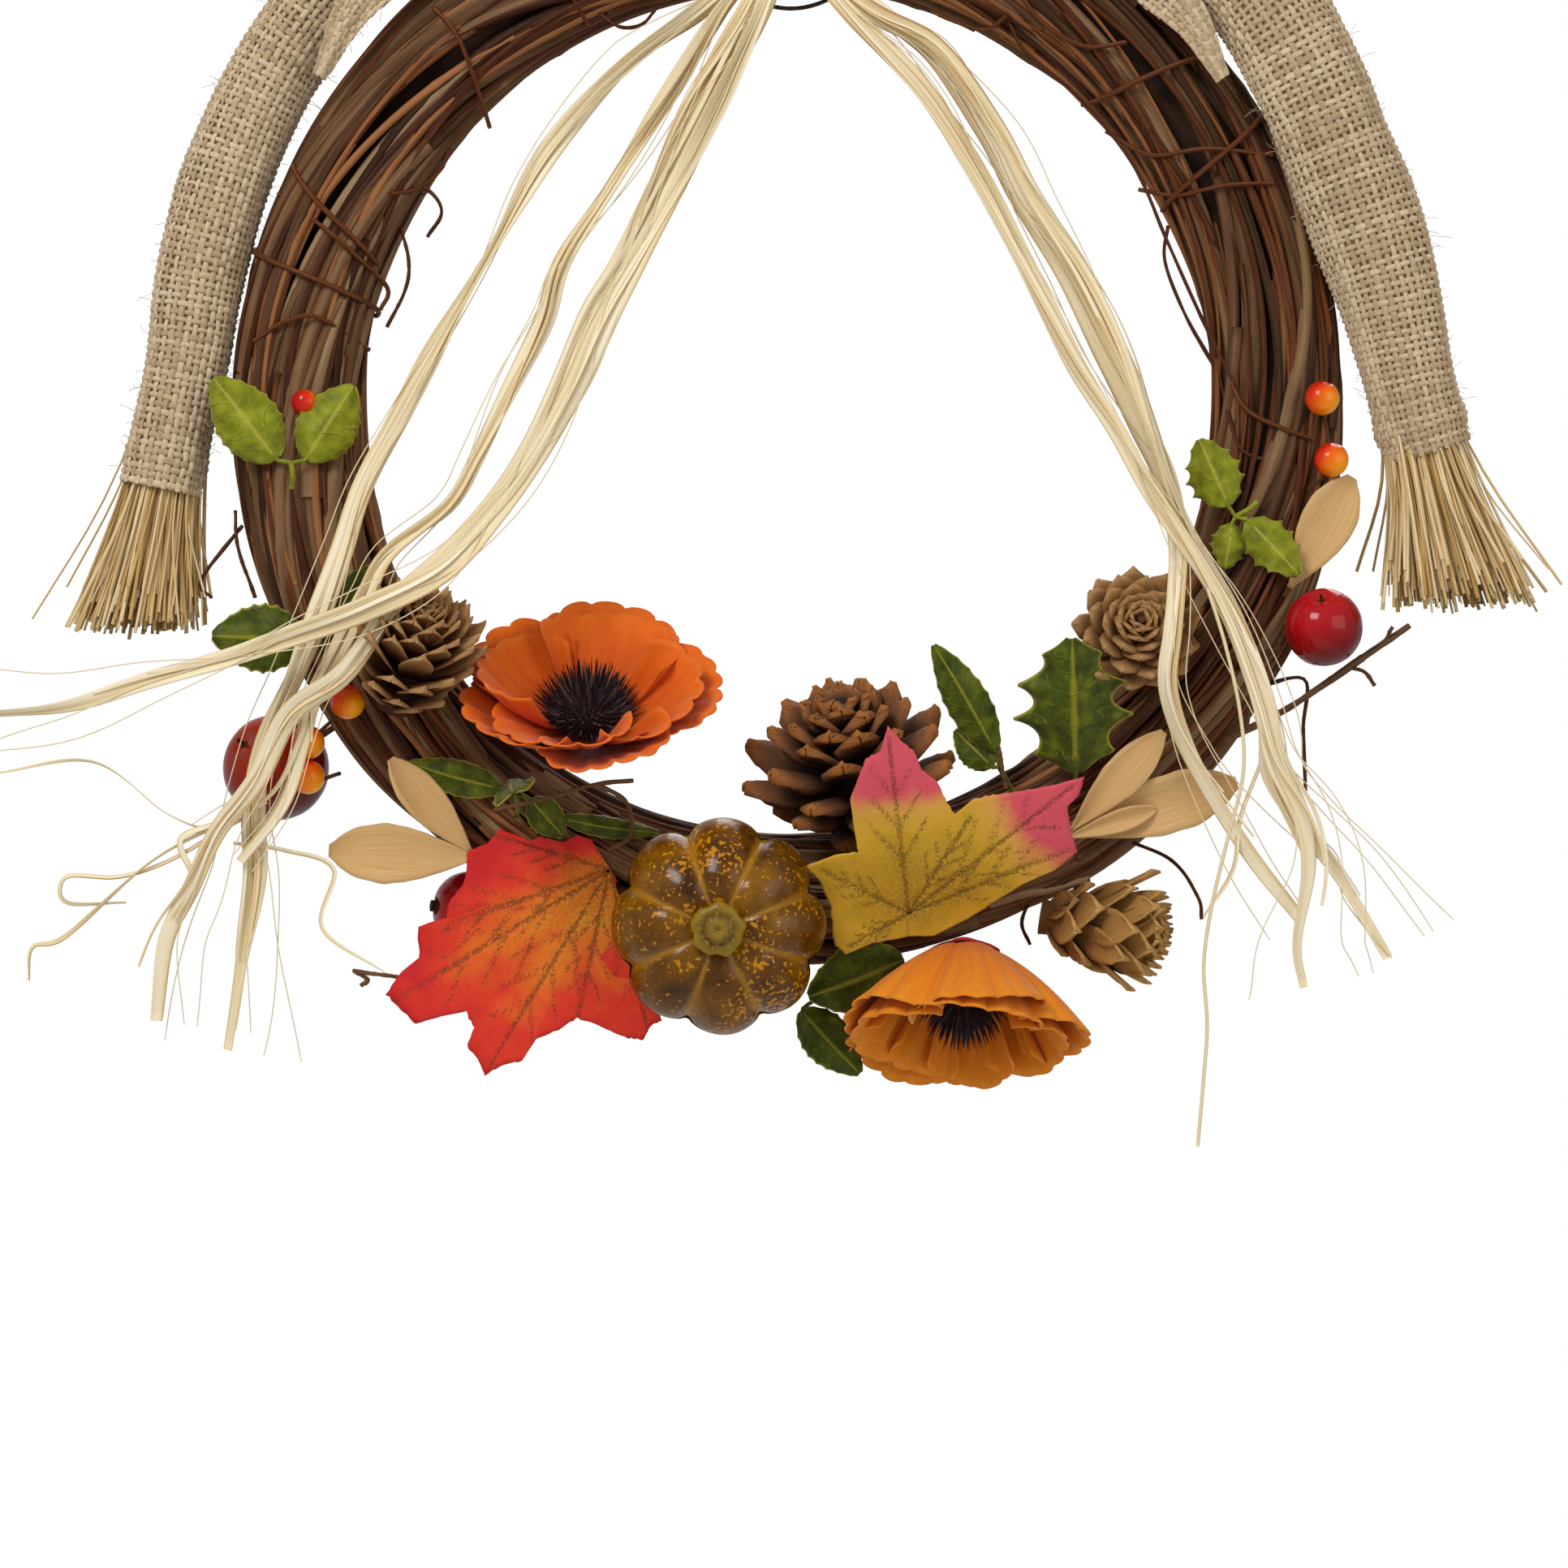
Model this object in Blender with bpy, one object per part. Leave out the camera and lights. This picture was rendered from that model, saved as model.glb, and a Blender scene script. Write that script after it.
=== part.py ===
"""Harvest door wreath: a grape-vine ring with burlap sleeves, a bow, raffia and autumn trimmings.

Units are metres and +Z is up. The wreath hangs upright and its front faces -Y. The origin is the
point where the door's hook carries the wire loop behind the top of the ring.
Places on the ring are given by spot(clock, out, front): the clock angle in degrees from 12 o'clock,
the distance outside the ring's middle circle, and the distance in front of the ring's front face.
"""

import math

import bmesh
import bpy
from mathutils import Matrix, Vector

MM = 0.001
GAP = 0.4 * MM  # left between pieces that touch

# Vine ring
RING_DIAMETER = 305 * MM
RING_WIDTH = 36 * MM  # from the inner to the outer edge
RING_DEPTH = 30 * MM
CANE_COUNT = 6
CANE_RADIUS = 3.4 * MM
CANE_TURNS = 1  # whole turns of each cane round the bundle
TENDRIL_RADIUS = 1.1 * MM

# Hanger
HANGER_WIRE_RADIUS = 0.8 * MM
TIE_WIRE_RADIUS = 0.6 * MM
LOOP_HEIGHT = 38 * MM
LOOP_WIDTH = 24 * MM
TIE_SPACING = 34 * MM
TIE_SAG = 5 * MM
TIE_BULGE_REACH = 6 * MM  # above and below the loop's bar, where the tie stands off to pass over it

# Sleeves and their straw
SLEEVE_WALL = 1.6 * MM
SLEEVE_DEPTH = 24 * MM
SLEEVE_WIDTH_LEFT = 24.6 * MM
SLEEVE_WIDTH_RIGHT = 31 * MM
SLEEVE_OVERLAP_RIGHT = 1.8 * MM  # how far the wide sleeve lies over the ring's edge
SLEEVE_SET_BACK_RIGHT = 3 * MM  # of the wide sleeve's middle, behind the ring's front face
SHOULDER_SPACING = 30 * MM
SHOULDER_CLEARANCE = 3.5 * MM  # between the ring's outer edge and the wider sleeve at its top
HAND_WIDTH = 40 * MM
HAND_DEPTH = 22 * MM

# Bow and raffia
BAND_WIDTH = 14 * MM
CLOTH = 1.4 * MM
BOW_KNOT = Vector((20, 13, 34)) * MM
BOW_LOOP_LENGTH = 46 * MM
BOW_LOOP_HEIGHT = 20 * MM
BOW_LOOP_DEPTH = 12 * MM
TAIL_WIDTH = 15 * MM
RAFFIA_KNOT = Vector((30, 14, 12)) * MM
RAFFIA_RADIUS = 1.0 * MM
THREAD_RADIUS = 0.5 * MM

# Trimmings
PUMPKIN_RADIUS = 29.6 * MM
PUMPKIN_DEPTH = 38 * MM
PUMPKIN_RIBS = 8
UPPER_FLOWER_RADIUS = 35.5 * MM
LOWER_FLOWER_RADIUS = 33 * MM
PETAL = 1.0 * MM
LEAF = 0.8 * MM
STEM_RADIUS = 0.8 * MM
TWIG_RADIUS = 0.9 * MM
BIG_CONE_RADIUS = 24 * MM
BIG_CONE_LENGTH = 40 * MM
LEFT_BERRY_RADIUS = 14.8 * MM
RIGHT_BERRY_RADIUS = 10.7 * MM
HIDDEN_BERRY_RADIUS = 10.6 * MM
SMALL_BERRY_RADIUS = 4.7 * MM

# Worked out from the sizes above
OUTER_RADIUS = RING_DIAMETER / 2
MIDDLE_RADIUS = OUTER_RADIUS - RING_WIDTH / 2
FRONT_Y = -RING_DEPTH / 2
CANE_REACH_OUT = RING_WIDTH / 2 - CANE_RADIUS
CANE_REACH_FRONT = RING_DEPTH / 2 - CANE_RADIUS
LOOP_Y = RING_DEPTH / 2 + 3 * GAP + CLOTH + HANGER_WIRE_RADIUS
LOOP_BAR_Z = MIDDLE_RADIUS
HOOK_Z = LOOP_BAR_Z + LOOP_HEIGHT
SHOULDER_Z = OUTER_RADIUS + SLEEVE_WIDTH_RIGHT / 2 + SHOULDER_CLEARANCE
PUMPKIN_CLOCK = 187.6
YELLOW_LEAF_CLOCK = PUMPKIN_CLOCK - math.degrees((PUMPKIN_RADIUS + 19.2 * MM) / MIDDLE_RADIUS)
BIG_CONE_CLOCK = PUMPKIN_CLOCK - math.degrees((PUMPKIN_RADIUS + 11.7 * MM) / MIDDLE_RADIUS)
TWO_PI = 2 * math.pi


def spot(clock, out=0.0, front=0.0):
    """The point at a clock angle, outside the ring's middle circle and in front of its front face."""
    angle = math.radians(clock)
    radius = MIDDLE_RADIUS + out
    return Vector((radius * math.sin(angle), FRONT_Y - front, radius * math.cos(angle)))


def section_point(clock, turn, clearance):
    """A point round the ring's cross-section: turn 0 faces out, 90 faces front, 180 faces in."""
    reach = math.radians(turn)
    out = (RING_WIDTH / 2 + clearance) * math.cos(reach)
    depth = (RING_DEPTH / 2 + clearance) * math.sin(reach)
    point = spot(clock, out)
    point.y = -depth
    return point


# ---------------------------------------------------------------- making solids


def material(name, colour, roughness, metallic=0.0):
    """A Principled material, made once for each name."""
    found = bpy.data.materials.get(name)
    if found:
        return found
    made = bpy.data.materials.new(name)
    made.use_nodes = True
    shader = made.node_tree.nodes["Principled BSDF"]
    shader.inputs["Base Color"].default_value = (*colour, 1.0)
    shader.inputs["Roughness"].default_value = roughness
    shader.inputs["Metallic"].default_value = metallic
    made.diffuse_color = (*colour, 1.0)
    return made


def solid(name, vertices, faces, finish, parent=None, smooth=True):
    """One closed mesh object with its faces pointing out."""
    mesh = bpy.data.meshes.new(name)
    mesh.from_pydata([tuple(v) for v in vertices], [], faces)
    shape = bmesh.new()
    shape.from_mesh(mesh)
    bmesh.ops.recalc_face_normals(shape, faces=shape.faces)
    if shape.calc_volume(signed=True) < 0:
        bmesh.ops.reverse_faces(shape, faces=shape.faces)
    shape.to_mesh(mesh)
    shape.free()
    if smooth:
        mesh.shade_smooth()
        mesh.set_sharp_from_angle(angle=math.radians(50))
    made = bpy.data.objects.new(name, mesh)
    made.data.materials.append(finish)
    made.parent = parent
    bpy.context.collection.objects.link(made)
    return made


def loft(rings, closed=False):
    """Vertices and faces through rings of points of equal count; the ends are capped or joined."""
    count = len(rings[0])
    vertices = [p for ring in rings for p in ring]
    faces = []
    last = len(rings) if closed else len(rings) - 1
    for i in range(last):
        j = (i + 1) % len(rings)
        for k in range(count):
            m = (k + 1) % count
            faces.append((i * count + k, i * count + m, j * count + m, j * count + k))
    if not closed:
        faces.append(tuple(range(count)))
        start = (len(rings) - 1) * count
        faces.append(tuple(start + k for k in reversed(range(count))))
    return vertices, faces


def spline(points, count):
    """Evenly spaced points on a Catmull-Rom curve through the given points."""
    points = [Vector(p) for p in points]
    ends = [2 * points[0] - points[1]] + points + [2 * points[-1] - points[-2]]
    fine = []
    steps = 24
    for i in range(1, len(ends) - 2):
        a, b, c, d = ends[i - 1 : i + 3]
        for k in range(steps):
            t = k / steps
            fine.append(
                0.5
                * (
                    2 * b
                    + (c - a) * t
                    + (2 * a - 5 * b + 4 * c - d) * t**2
                    + (3 * b - 3 * c + d - a) * t**3
                )
            )
    fine.append(points[-1])
    travelled = [0.0]
    for a, b in zip(fine, fine[1:]):
        travelled.append(travelled[-1] + (b - a).length)
    even = []
    j = 0
    for i in range(count):
        target = travelled[-1] * i / (count - 1)
        while j < len(fine) - 2 and travelled[j + 1] < target:
            j += 1
        share = (target - travelled[j]) / (travelled[j + 1] - travelled[j])
        even.append(fine[j].lerp(fine[j + 1], min(max(share, 0.0), 1.0)))
    return even


def tube_rings(path, radii, sides, up=Vector((0, 1, 0)), closed=False):
    """Rings of points round a path; radii holds (across, along up) for each point of the path."""
    rings = []
    for i, point in enumerate(path):
        before = path[i - 1] if i or closed else path[i]
        after = path[(i + 1) % len(path)] if i < len(path) - 1 or closed else path[i]
        along = (after - before).normalized()
        across = along.cross(up).normalized()
        lift = across.cross(along)
        wide, deep = radii[i]
        rings.append(
            [
                point
                + across * wide * math.cos(TWO_PI * k / sides)
                + lift * deep * math.sin(TWO_PI * k / sides)
                for k in range(sides)
            ]
        )
    return rings


def rod(name, path, radius, sides, finish, parent=None, up=Vector((0, 1, 0)), closed=False):
    """A round rod of one radius along a path."""
    rings = tube_rings(path, [(radius, radius)] * len(path), sides, up, closed)
    return solid(name, *loft(rings, closed), finish, parent)


def cord_tube(name, route, radius, count, finish, parent):
    """A free strand: a bevelled curve on a poly spline read from a smooth curve."""
    curve = bpy.data.curves.new(name, "CURVE")
    curve.dimensions = "3D"
    curve.bevel_depth = radius
    curve.bevel_resolution = 2
    curve.use_fill_caps = True
    line = curve.splines.new("POLY")
    points = spline(route, count)
    line.points.add(count - 1)
    for place, point in zip(line.points, points):
        place.co = (*point, 1.0)
    curve.materials.append(finish)
    made = bpy.data.objects.new(name, curve)
    made.parent = parent
    bpy.context.collection.objects.link(made)
    return made


def turned(name, profile, sides, finish, parent, lobes=None):
    """A solid turned about local Z from (radius, height) pairs that start and end on the axis.

    lobes(angle, height share) scales the radius, for ribs and scalloped rims.
    """
    vertices = [Vector((0, 0, profile[0][1]))]
    inner = profile[1:-1]
    for row, (radius, height) in enumerate(inner):
        for k in range(sides):
            angle = TWO_PI * k / sides
            scale = lobes(angle, row / (len(inner) - 1)) if lobes else 1.0
            vertices.append(
                Vector((radius * scale * math.cos(angle), radius * scale * math.sin(angle), height))
            )
    vertices.append(Vector((0, 0, profile[-1][1])))
    faces = []
    for k in range(sides):
        m = (k + 1) % sides
        faces.append((0, 1 + m, 1 + k))
        for row in range(len(inner) - 1):
            a = 1 + row * sides
            b = a + sides
            faces.append((a + k, a + m, b + m, b + k))
        end = 1 + (len(inner) - 1) * sides
        faces.append((end + k, end + m, len(vertices) - 1))
    return solid(name, vertices, faces, finish, parent)


def aim(thing, place, direction, roll=0.0):
    """Puts an object's origin at a place with its local Z along a direction."""
    thing.location = place
    turn = Vector(direction).to_track_quat("Z", "Y").to_matrix()
    thing.rotation_euler = (turn @ Matrix.Rotation(roll, 3, "Z")).to_euler()
    return thing


def union(base, tools):
    """Joins overlapping solids into the base as one body and removes the tools."""
    for tool in tools:
        step = base.modifiers.new(tool.name, "BOOLEAN")
        step.operation = "UNION"
        step.solver = "EXACT"
        step.object = tool
    bpy.context.view_layer.update()
    graph = bpy.context.evaluated_depsgraph_get()
    joined = bpy.data.meshes.new_from_object(base.evaluated_get(graph), depsgraph=graph)
    base.modifiers.clear()
    base.data = joined
    for tool in tools:
        bpy.data.objects.remove(tool)
    return base


# ---------------------------------------------------------------- vine ring and hanger


def make_ring(frame):
    """The core bundle, the twisted canes round it and the tendrils that bind them."""
    bark = material("bark", (0.16, 0.09, 0.05), 0.75)
    tendril_bark = material("tendril_bark", (0.17, 0.055, 0.025), 0.6)
    segments = 42
    out = CANE_REACH_OUT - CANE_RADIUS - GAP
    deep = CANE_REACH_FRONT - CANE_RADIUS - GAP
    rings = []
    for i in range(segments):
        clock = 360 * i / segments
        ring = []
        for k in range(8):
            angle = TWO_PI * k / 8
            point = spot(clock, out * math.cos(angle))
            point.y = -deep * math.sin(angle)
            ring.append(point)
        rings.append(ring)
    solid("vine_core", *loft(rings, closed=True), bark, frame)
    for cane in range(CANE_COUNT):
        path = []
        for i in range(segments):
            turn = TWO_PI * (cane / CANE_COUNT + CANE_TURNS * i / segments)
            point = spot(360 * i / segments, CANE_REACH_OUT * math.cos(turn))
            point.y = -CANE_REACH_FRONT * math.sin(turn)
            path.append(point)
        rod(f"vine_cane_{cane + 1}", path, CANE_RADIUS, 5, bark, frame, closed=True)
    clearance = TENDRIL_RADIUS + GAP
    for side, start, end in (("left", 293, 284), ("right", 62, 50)):
        path = []
        steps = 14
        for i in range(steps + 1):
            share = i / steps
            path.append(section_point(start + (end - start) * share, 32 + 128 * share, clearance))
        along = spot(start).normalized()
        rod(f"vine_tendril_{side}", path, TENDRIL_RADIUS, 6, tendril_bark, frame, up=along)


def tie_turn(clock, first, last, steps):
    """Part of a turn of tie wire round the ring; at the back it bulges over the loop's bar."""
    reach = TIE_WIRE_RADIUS + GAP
    points = []
    for i in range(steps + 1):
        turn = first + (last - first) * i / steps
        point = section_point(clock, turn, reach)
        if point.y > 0:
            bulge = math.exp(-(((point.z - LOOP_BAR_Z) / TIE_BULGE_REACH) ** 4))
            over = LOOP_Y + HANGER_WIRE_RADIUS + TIE_WIRE_RADIUS + 2 * GAP
            point.y += (over - point.y) * bulge
        points.append(point)
    return points


def make_hanger(frame, pivot):
    """The tie wire round the ring's top, and the loop that folds on it."""
    wire = material("hanger_wire", (0.10, 0.08, 0.07), 0.45, 0.8)
    turn = math.degrees((TIE_SPACING / 2) / MIDDLE_RADIUS)
    left = tie_turn(-turn, -170, 170, 17)
    right = tie_turn(turn, 190, 530, 17)
    bridge = []
    for share in (0.25, 0.5, 0.75):
        point = left[-1].lerp(right[0], share)
        point.z -= TIE_SAG * (1 - (2 * share - 1) ** 2)
        bridge.append(point)
    rod("hanger_tie", left + bridge + right, TIE_WIRE_RADIUS, 6, wire, frame, up=Vector((1, 0, 0)))
    half = LOOP_WIDTH / 2
    bar = TIE_SPACING / 2 + 4 * MM
    path = [Vector((x, 0, 0)) for x in (-bar, -half, 0, half, bar)]
    path.append(Vector((bar + 1.5 * MM, 0, 2 * MM)))
    rise = LOOP_HEIGHT - half
    for i in range(9):
        angle = math.pi * i / 8
        path.append(Vector((half * math.cos(angle), 0, rise + half * math.sin(angle))))
    path.append(Vector((-bar - 1.5 * MM, 0, 2 * MM)))
    rod("hanging_loop", path, HANGER_WIRE_RADIUS, 6, wire, pivot, closed=True)


# ---------------------------------------------------------------- sleeves, straw, bow and raffia


def sleeve_route(side):
    """The middle line of a sleeve from its shoulder to its cuff, as points and depth offsets."""
    if side < 0:
        rest = SLEEVE_WIDTH_LEFT / 2 + 0.7 * MM
        splay = ((330, 5.6, 0), (315, 5.0, 0), (301.5, 3.6, 0), (286, 0.6, 0), (275, 0.6, 0))
        splay += ((266.5, 5.4, 0), (262.8, 8.8, 0))
    else:
        rest = SLEEVE_WIDTH_RIGHT / 2 - SLEEVE_OVERLAP_RIGHT
        splay = ((30, 5.2, 0.1), (43, 5.2, 0.55), (52, 3.5, 0.9), (63.5, 0, 1), (77, 0, 1))
        splay += ((88.5, 3.6, 0.9), (94, 8.8, 0.8))
    shoulder = Vector((side * SHOULDER_SPACING / 2, 0, SHOULDER_Z))
    points = [shoulder]
    for clock, extra, forward in splay:
        point = spot(clock, OUTER_RADIUS - MIDDLE_RADIUS + rest + extra * MM)
        point.y = forward * (FRONT_Y + SLEEVE_SET_BACK_RIGHT)
        points.append(point)
    return points


def make_arm(side, pivot):
    """A burlap sleeve, open at both ends, and the straw inside it that flares out as a hand."""
    name = "left" if side < 0 else "right"
    width = SLEEVE_WIDTH_LEFT if side < 0 else SLEEVE_WIDTH_RIGHT
    burlap = material("burlap", (0.45, 0.32, 0.19), 0.95)
    straw = material("straw", (0.60, 0.45, 0.26), 0.85)
    sides = 10
    stations = 13
    path = spline(sleeve_route(side), stations)
    outer = [(width / 2, SLEEVE_DEPTH / 2)] * stations
    inner = [(w - SLEEVE_WALL, d - SLEEVE_WALL) for w, d in outer]
    skin = tube_rings(path, outer, sides)
    lining = tube_rings(path, inner, sides)
    sleeve = solid(f"arm_sleeve_{name}", *loft(skin + lining[::-1], closed=True), burlap, pivot)
    bundle = [(w - SLEEVE_WALL - 2 * GAP, d - SLEEVE_WALL - 2 * GAP) for w, d in outer]
    cuff = path[-1]
    if side < 0:
        drops = ((-2.4, -12, 1.15), (-5.2, -24, 1.5), (-8, -38, None))
    else:
        drops = ((3.6, -13, 1.1), (7.2, -26, 1.25), (11, -41, None))
    fan = list(path)
    sizes = list(bundle)
    for dx, dz, spread in drops:
        fan.append(cuff + Vector((dx, 0, dz)) * MM)
        wide = HAND_WIDTH / 2 if spread is None else sizes[stations - 1][0] * spread
        deep = HAND_DEPTH / 2 if spread is None else sizes[stations - 1][1]
        sizes.append((wide, deep))
    hand = solid(f"arm_straw_{name}", *loft(tube_rings(fan, sizes, sides)), straw, pivot)
    for thing in (sleeve, hand):
        thing.location = -pivot.location


def band(name, clock, half_width, thickness, finish, frame):
    """A flat band wrapped round the ring's cross-section."""
    sweep = math.degrees(half_width / MIDDLE_RADIUS)
    rings = []
    steps = 16
    for i in range(steps):
        turn = 360 * i / steps
        rings.append(
            [
                section_point(clock - sweep, turn, 2 * GAP),
                section_point(clock + sweep, turn, 2 * GAP),
                section_point(clock + sweep, turn, 2 * GAP + thickness),
                section_point(clock - sweep, turn, 2 * GAP + thickness),
            ]
        )
    return solid(name, *loft(rings, closed=True), finish, frame)


def lump(name, place, size, finish, frame):
    """A rounded block, for a knot of cloth or raffia."""
    shape = bmesh.new()
    bmesh.ops.create_uvsphere(shape, u_segments=12, v_segments=8, radius=0.5)
    for vertex in shape.verts:
        vertex.co = Vector([math.copysign(abs(c * 2) ** 0.7 / 2, c) for c in vertex.co])
        vertex.co = Vector((vertex.co.x * size.x, vertex.co.y * size.y, vertex.co.z * size.z))
    mesh = bpy.data.meshes.new(name)
    shape.to_mesh(mesh)
    shape.free()
    mesh.shade_smooth()
    mesh.materials.append(finish)
    made = bpy.data.objects.new(name, mesh)
    made.location = place
    made.parent = frame
    bpy.context.collection.objects.link(made)
    return made


def make_bow(frame):
    """The burlap bow at the top: knot with its band, two loops and two tails."""
    burlap = material("burlap", (0.45, 0.32, 0.19), 0.95)
    knot_y = FRONT_Y - BOW_KNOT.y / 2
    knot_z = MIDDLE_RADIUS + 14 * MM
    loop_y = knot_y - 6.5 * MM
    loop_z = knot_z + 11 * MM
    wrap = band("burlap_bow_knot", 0, BAND_WIDTH / 2, CLOTH, burlap, frame)
    knot = lump("knot", Vector((0, knot_y, knot_z)), BOW_KNOT, burlap, frame)
    bpy.context.view_layer.update()
    union(wrap, [knot])
    for side, name in ((-1, "left"), (1, "right")):
        start = side * (BOW_KNOT.x / 2 + GAP)
        rings = []
        steps = 16
        for i in range(steps):
            angle = TWO_PI * i / steps
            x = start + side * BOW_LOOP_LENGTH / 2 * (1 - math.cos(angle))
            open_share = math.sin(angle) * (1 - 0.45 * math.cos(angle)) / 1.15
            z = loop_z + BOW_LOOP_HEIGHT / 2 * open_share
            outward = Vector((-side * math.cos(angle) * 0.8, 0, math.sin(angle))).normalized()
            middle = Vector((x, loop_y, z))
            ring = []
            for depth, thick in ((-0.5, 0), (0.5, 0), (0.5, -1), (-0.5, -1)):
                offset = Vector((0, depth * BOW_LOOP_DEPTH, 0))
                ring.append(middle + offset + outward * thick * CLOTH)
            rings.append(ring)
        solid(f"burlap_bow_loop_{name}", *loft(rings, closed=True), burlap, frame)
    tail_front = CLOTH + 6 * GAP
    # clock angle and distance outside the middle circle in mm, knot to tip
    left = ((352.5, 16), (340, 24), (325, 26), (314, 26), (305, 21))
    right = ((7.5, 16), (20, 20), (33, 19), (45, 17), (53, 13))
    for name, route in (("left", left), ("right", right)):
        middle = spline([spot(clock, out * MM, tail_front) for clock, out in route], 9)
        rings = []
        for i, point in enumerate(middle):
            share = i / (len(middle) - 1)
            taper = 1.0 if share < 0.75 else 1.0 - 0.8 * (share - 0.75) / 0.25
            outward = Vector((point.x, 0, point.z)).normalized() * TAIL_WIDTH / 2 * taper
            thick = Vector((0, CLOTH / 2, 0))
            ripple = Vector((0, -1.2 * MM * math.sin(9 * share), 0))
            base = point + ripple
            front = [base - outward - thick, base + outward - thick]
            rings.append(front + [base + outward + thick, base - outward + thick])
        solid(f"burlap_bow_tail_{name}", *loft(rings), burlap, frame)


# Routes of the raffia strands in millimetres from the ring's centre, knot to free end.
RAFFIA_ROUTES = {
    "raffia_strand_1": (
        (-12, -21, 117), (-24, -24, 107), (-44, -26, 92), (-65, -26, 68), (-80, -26, 42),
        (-94, -26, 18), (-105, -26, -3), (-115, -26, -22), (-121, -26, -40), (-127, -27, -57),
        (-134, -28, -75), (-141, -28, -92), (-144, -27, -110), (-144, -26, -128),
        (-148, -25, -150), (-152, -24, -175),
    ),
    "raffia_strand_2": (
        (-9, -24.5, 117), (-19, -28, 105), (-32, -30, 84), (-47, -30, 60), (-61, -30, 38),
        (-66, -30, 22), (-75, -30, 4), (-84, -30, -14), (-92, -30, -28), (-108, -30, -41),
        (-114, -31, -52), (-121, -32, -66), (-128, -33, -80), (-131, -33, -92),
        (-136, -32, -108), (-148, -30, -124),
    ),
    "raffia_strand_3": (
        (-6, -28, 117), (-12, -32, 103), (-22, -34, 84), (-34, -34, 61), (-45, -34, 37),
        (-53, -34, 24), (-61, -34, 6), (-70, -34, -13), (-79, -36, -27), (-92, -41, -42),
        (-105, -43, -54), (-119, -40, -73), (-134, -37, -84), (-143, -36, -102),
        (-154, -33, -116), (-161, -31, -131), (-168, -29, -145), (-171, -27, -167),
    ),
    "raffia_strand_4": (
        (-2.5, -31, 117), (-8, -36, 103), (-18, -38, 83), (-29, -38, 60), (-41, -38, 37),
        (-49, -38, 22), (-57, -38, 4), (-67, -38, -14), (-78, -41, -30), (-92, -46, -46),
        (-112, -47, -56), (-132, -43, -63), (-150, -37, -69), (-172, -33, -75),
        (-195, -28, -82), (-216, -24, -84),
    ),
    "raffia_strand_5": (
        (12, -21, 117), (26, -25, 105), (40, -27, 93), (53, -27, 73), (62, -27, 55),
        (76, -27, 34), (86, -27, 13), (95, -27, -6), (102, -27, -21), (105, -30, -37),
        (104, -38, -52), (103, -41, -62), (102, -39, -78), (109, -32, -97), (124, -27, -121),
        (138, -25, -139),
    ),
    "raffia_strand_6": (
        (9, -24.5, 117), (23, -28.5, 105), (40, -31, 95), (56, -31, 74), (66, -31, 55),
        (79, -31, 35), (90, -31, 13), (98, -31, -8), (106, -31, -30), (118, -32, -52),
        (125, -33, -72), (129, -33, -88), (130, -32, -101), (139, -30, -115), (150, -28, -130),
        (162, -26, -150),
    ),
    "raffia_strand_7": (
        (6, -28, 117), (18, -33, 103), (36, -35, 84), (49, -35, 64), (60, -35, 44),
        (70, -35, 24), (78, -35, 8), (88, -35, -8), (97, -35, -24), (111, -36, -45),
        (120, -37, -61), (127, -37, -80), (131, -36, -97), (138, -34, -112), (140, -32, -126),
        (137, -30, -146), (139, -28, -158),
    ),
    "raffia_thread": (
        (112, -40, -50), (117, -40, -66), (121, -39, -84), (122, -37, -100), (118, -34, -118),
        (114, -31, -136), (112, -29, -152), (113, -28, -168), (112, -27, -184), (110.6, -26, -201),
    ),
}
RAFFIA_POINTS = 26


def make_raffia(frame):
    """The raffia knot in front of the ring's top and the strands that hang from it."""
    raffia = material("raffia", (0.72, 0.58, 0.36), 0.7)
    knot_y = FRONT_Y - CLOTH - 4 * GAP - RAFFIA_KNOT.y / 2
    knot_z = MIDDLE_RADIUS - 10 * MM
    lump("raffia_knot", Vector((0, knot_y, knot_z)), RAFFIA_KNOT, raffia, frame)
    for name, route in RAFFIA_ROUTES.items():
        radius = THREAD_RADIUS if name == "raffia_thread" else RAFFIA_RADIUS
        points = [Vector(p) * MM for p in route]
        cord_tube(name, points, radius, RAFFIA_POINTS, raffia, frame)


# ---------------------------------------------------------------- trimmings


def make_pumpkin(frame):
    """The ribbed body, lying with its stem towards the viewer, and the stem button."""
    skin = material("pumpkin_skin", (0.16, 0.09, 0.02), 0.35)
    half = PUMPKIN_DEPTH / 2
    profile = [(0, -half)]
    rows = 9
    for i in range(1, rows):
        angle = math.pi * i / rows
        profile.append((PUMPKIN_RADIUS * math.sin(angle) ** 0.8, -half * math.cos(angle)))
    dip = 3.5 * MM
    profile.append((6.5 * MM, half - dip * 0.4))
    profile.append((0, half - dip))

    def ribs(angle, share):
        return 1 - 0.075 * (1 - abs(math.cos(PUMPKIN_RIBS * angle / 2)) ** 0.6)

    centre = spot(PUMPKIN_CLOCK, 7.9 * MM, half + 1.2 * MM)
    body = turned("pumpkin_body", profile, PUMPKIN_RIBS * 4, skin, frame, ribs)
    aim(body, centre, (0.0, -1.0, -0.03))
    stem = [(0, 0), (5.8 * MM, 0), (5.2 * MM, 3 * MM), (3 * MM, 5.2 * MM), (0, 5.8 * MM)]
    top = half - dip + 2.2 * MM
    button_finish = material("pumpkin_stem", (0.18, 0.12, 0.03), 0.6)
    button = turned("pumpkin_stem", stem, 12, button_finish, frame)
    aim(button, centre + Vector((0, -top, -0.03 * top)), (0.0, -1.0, -0.03))


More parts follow.
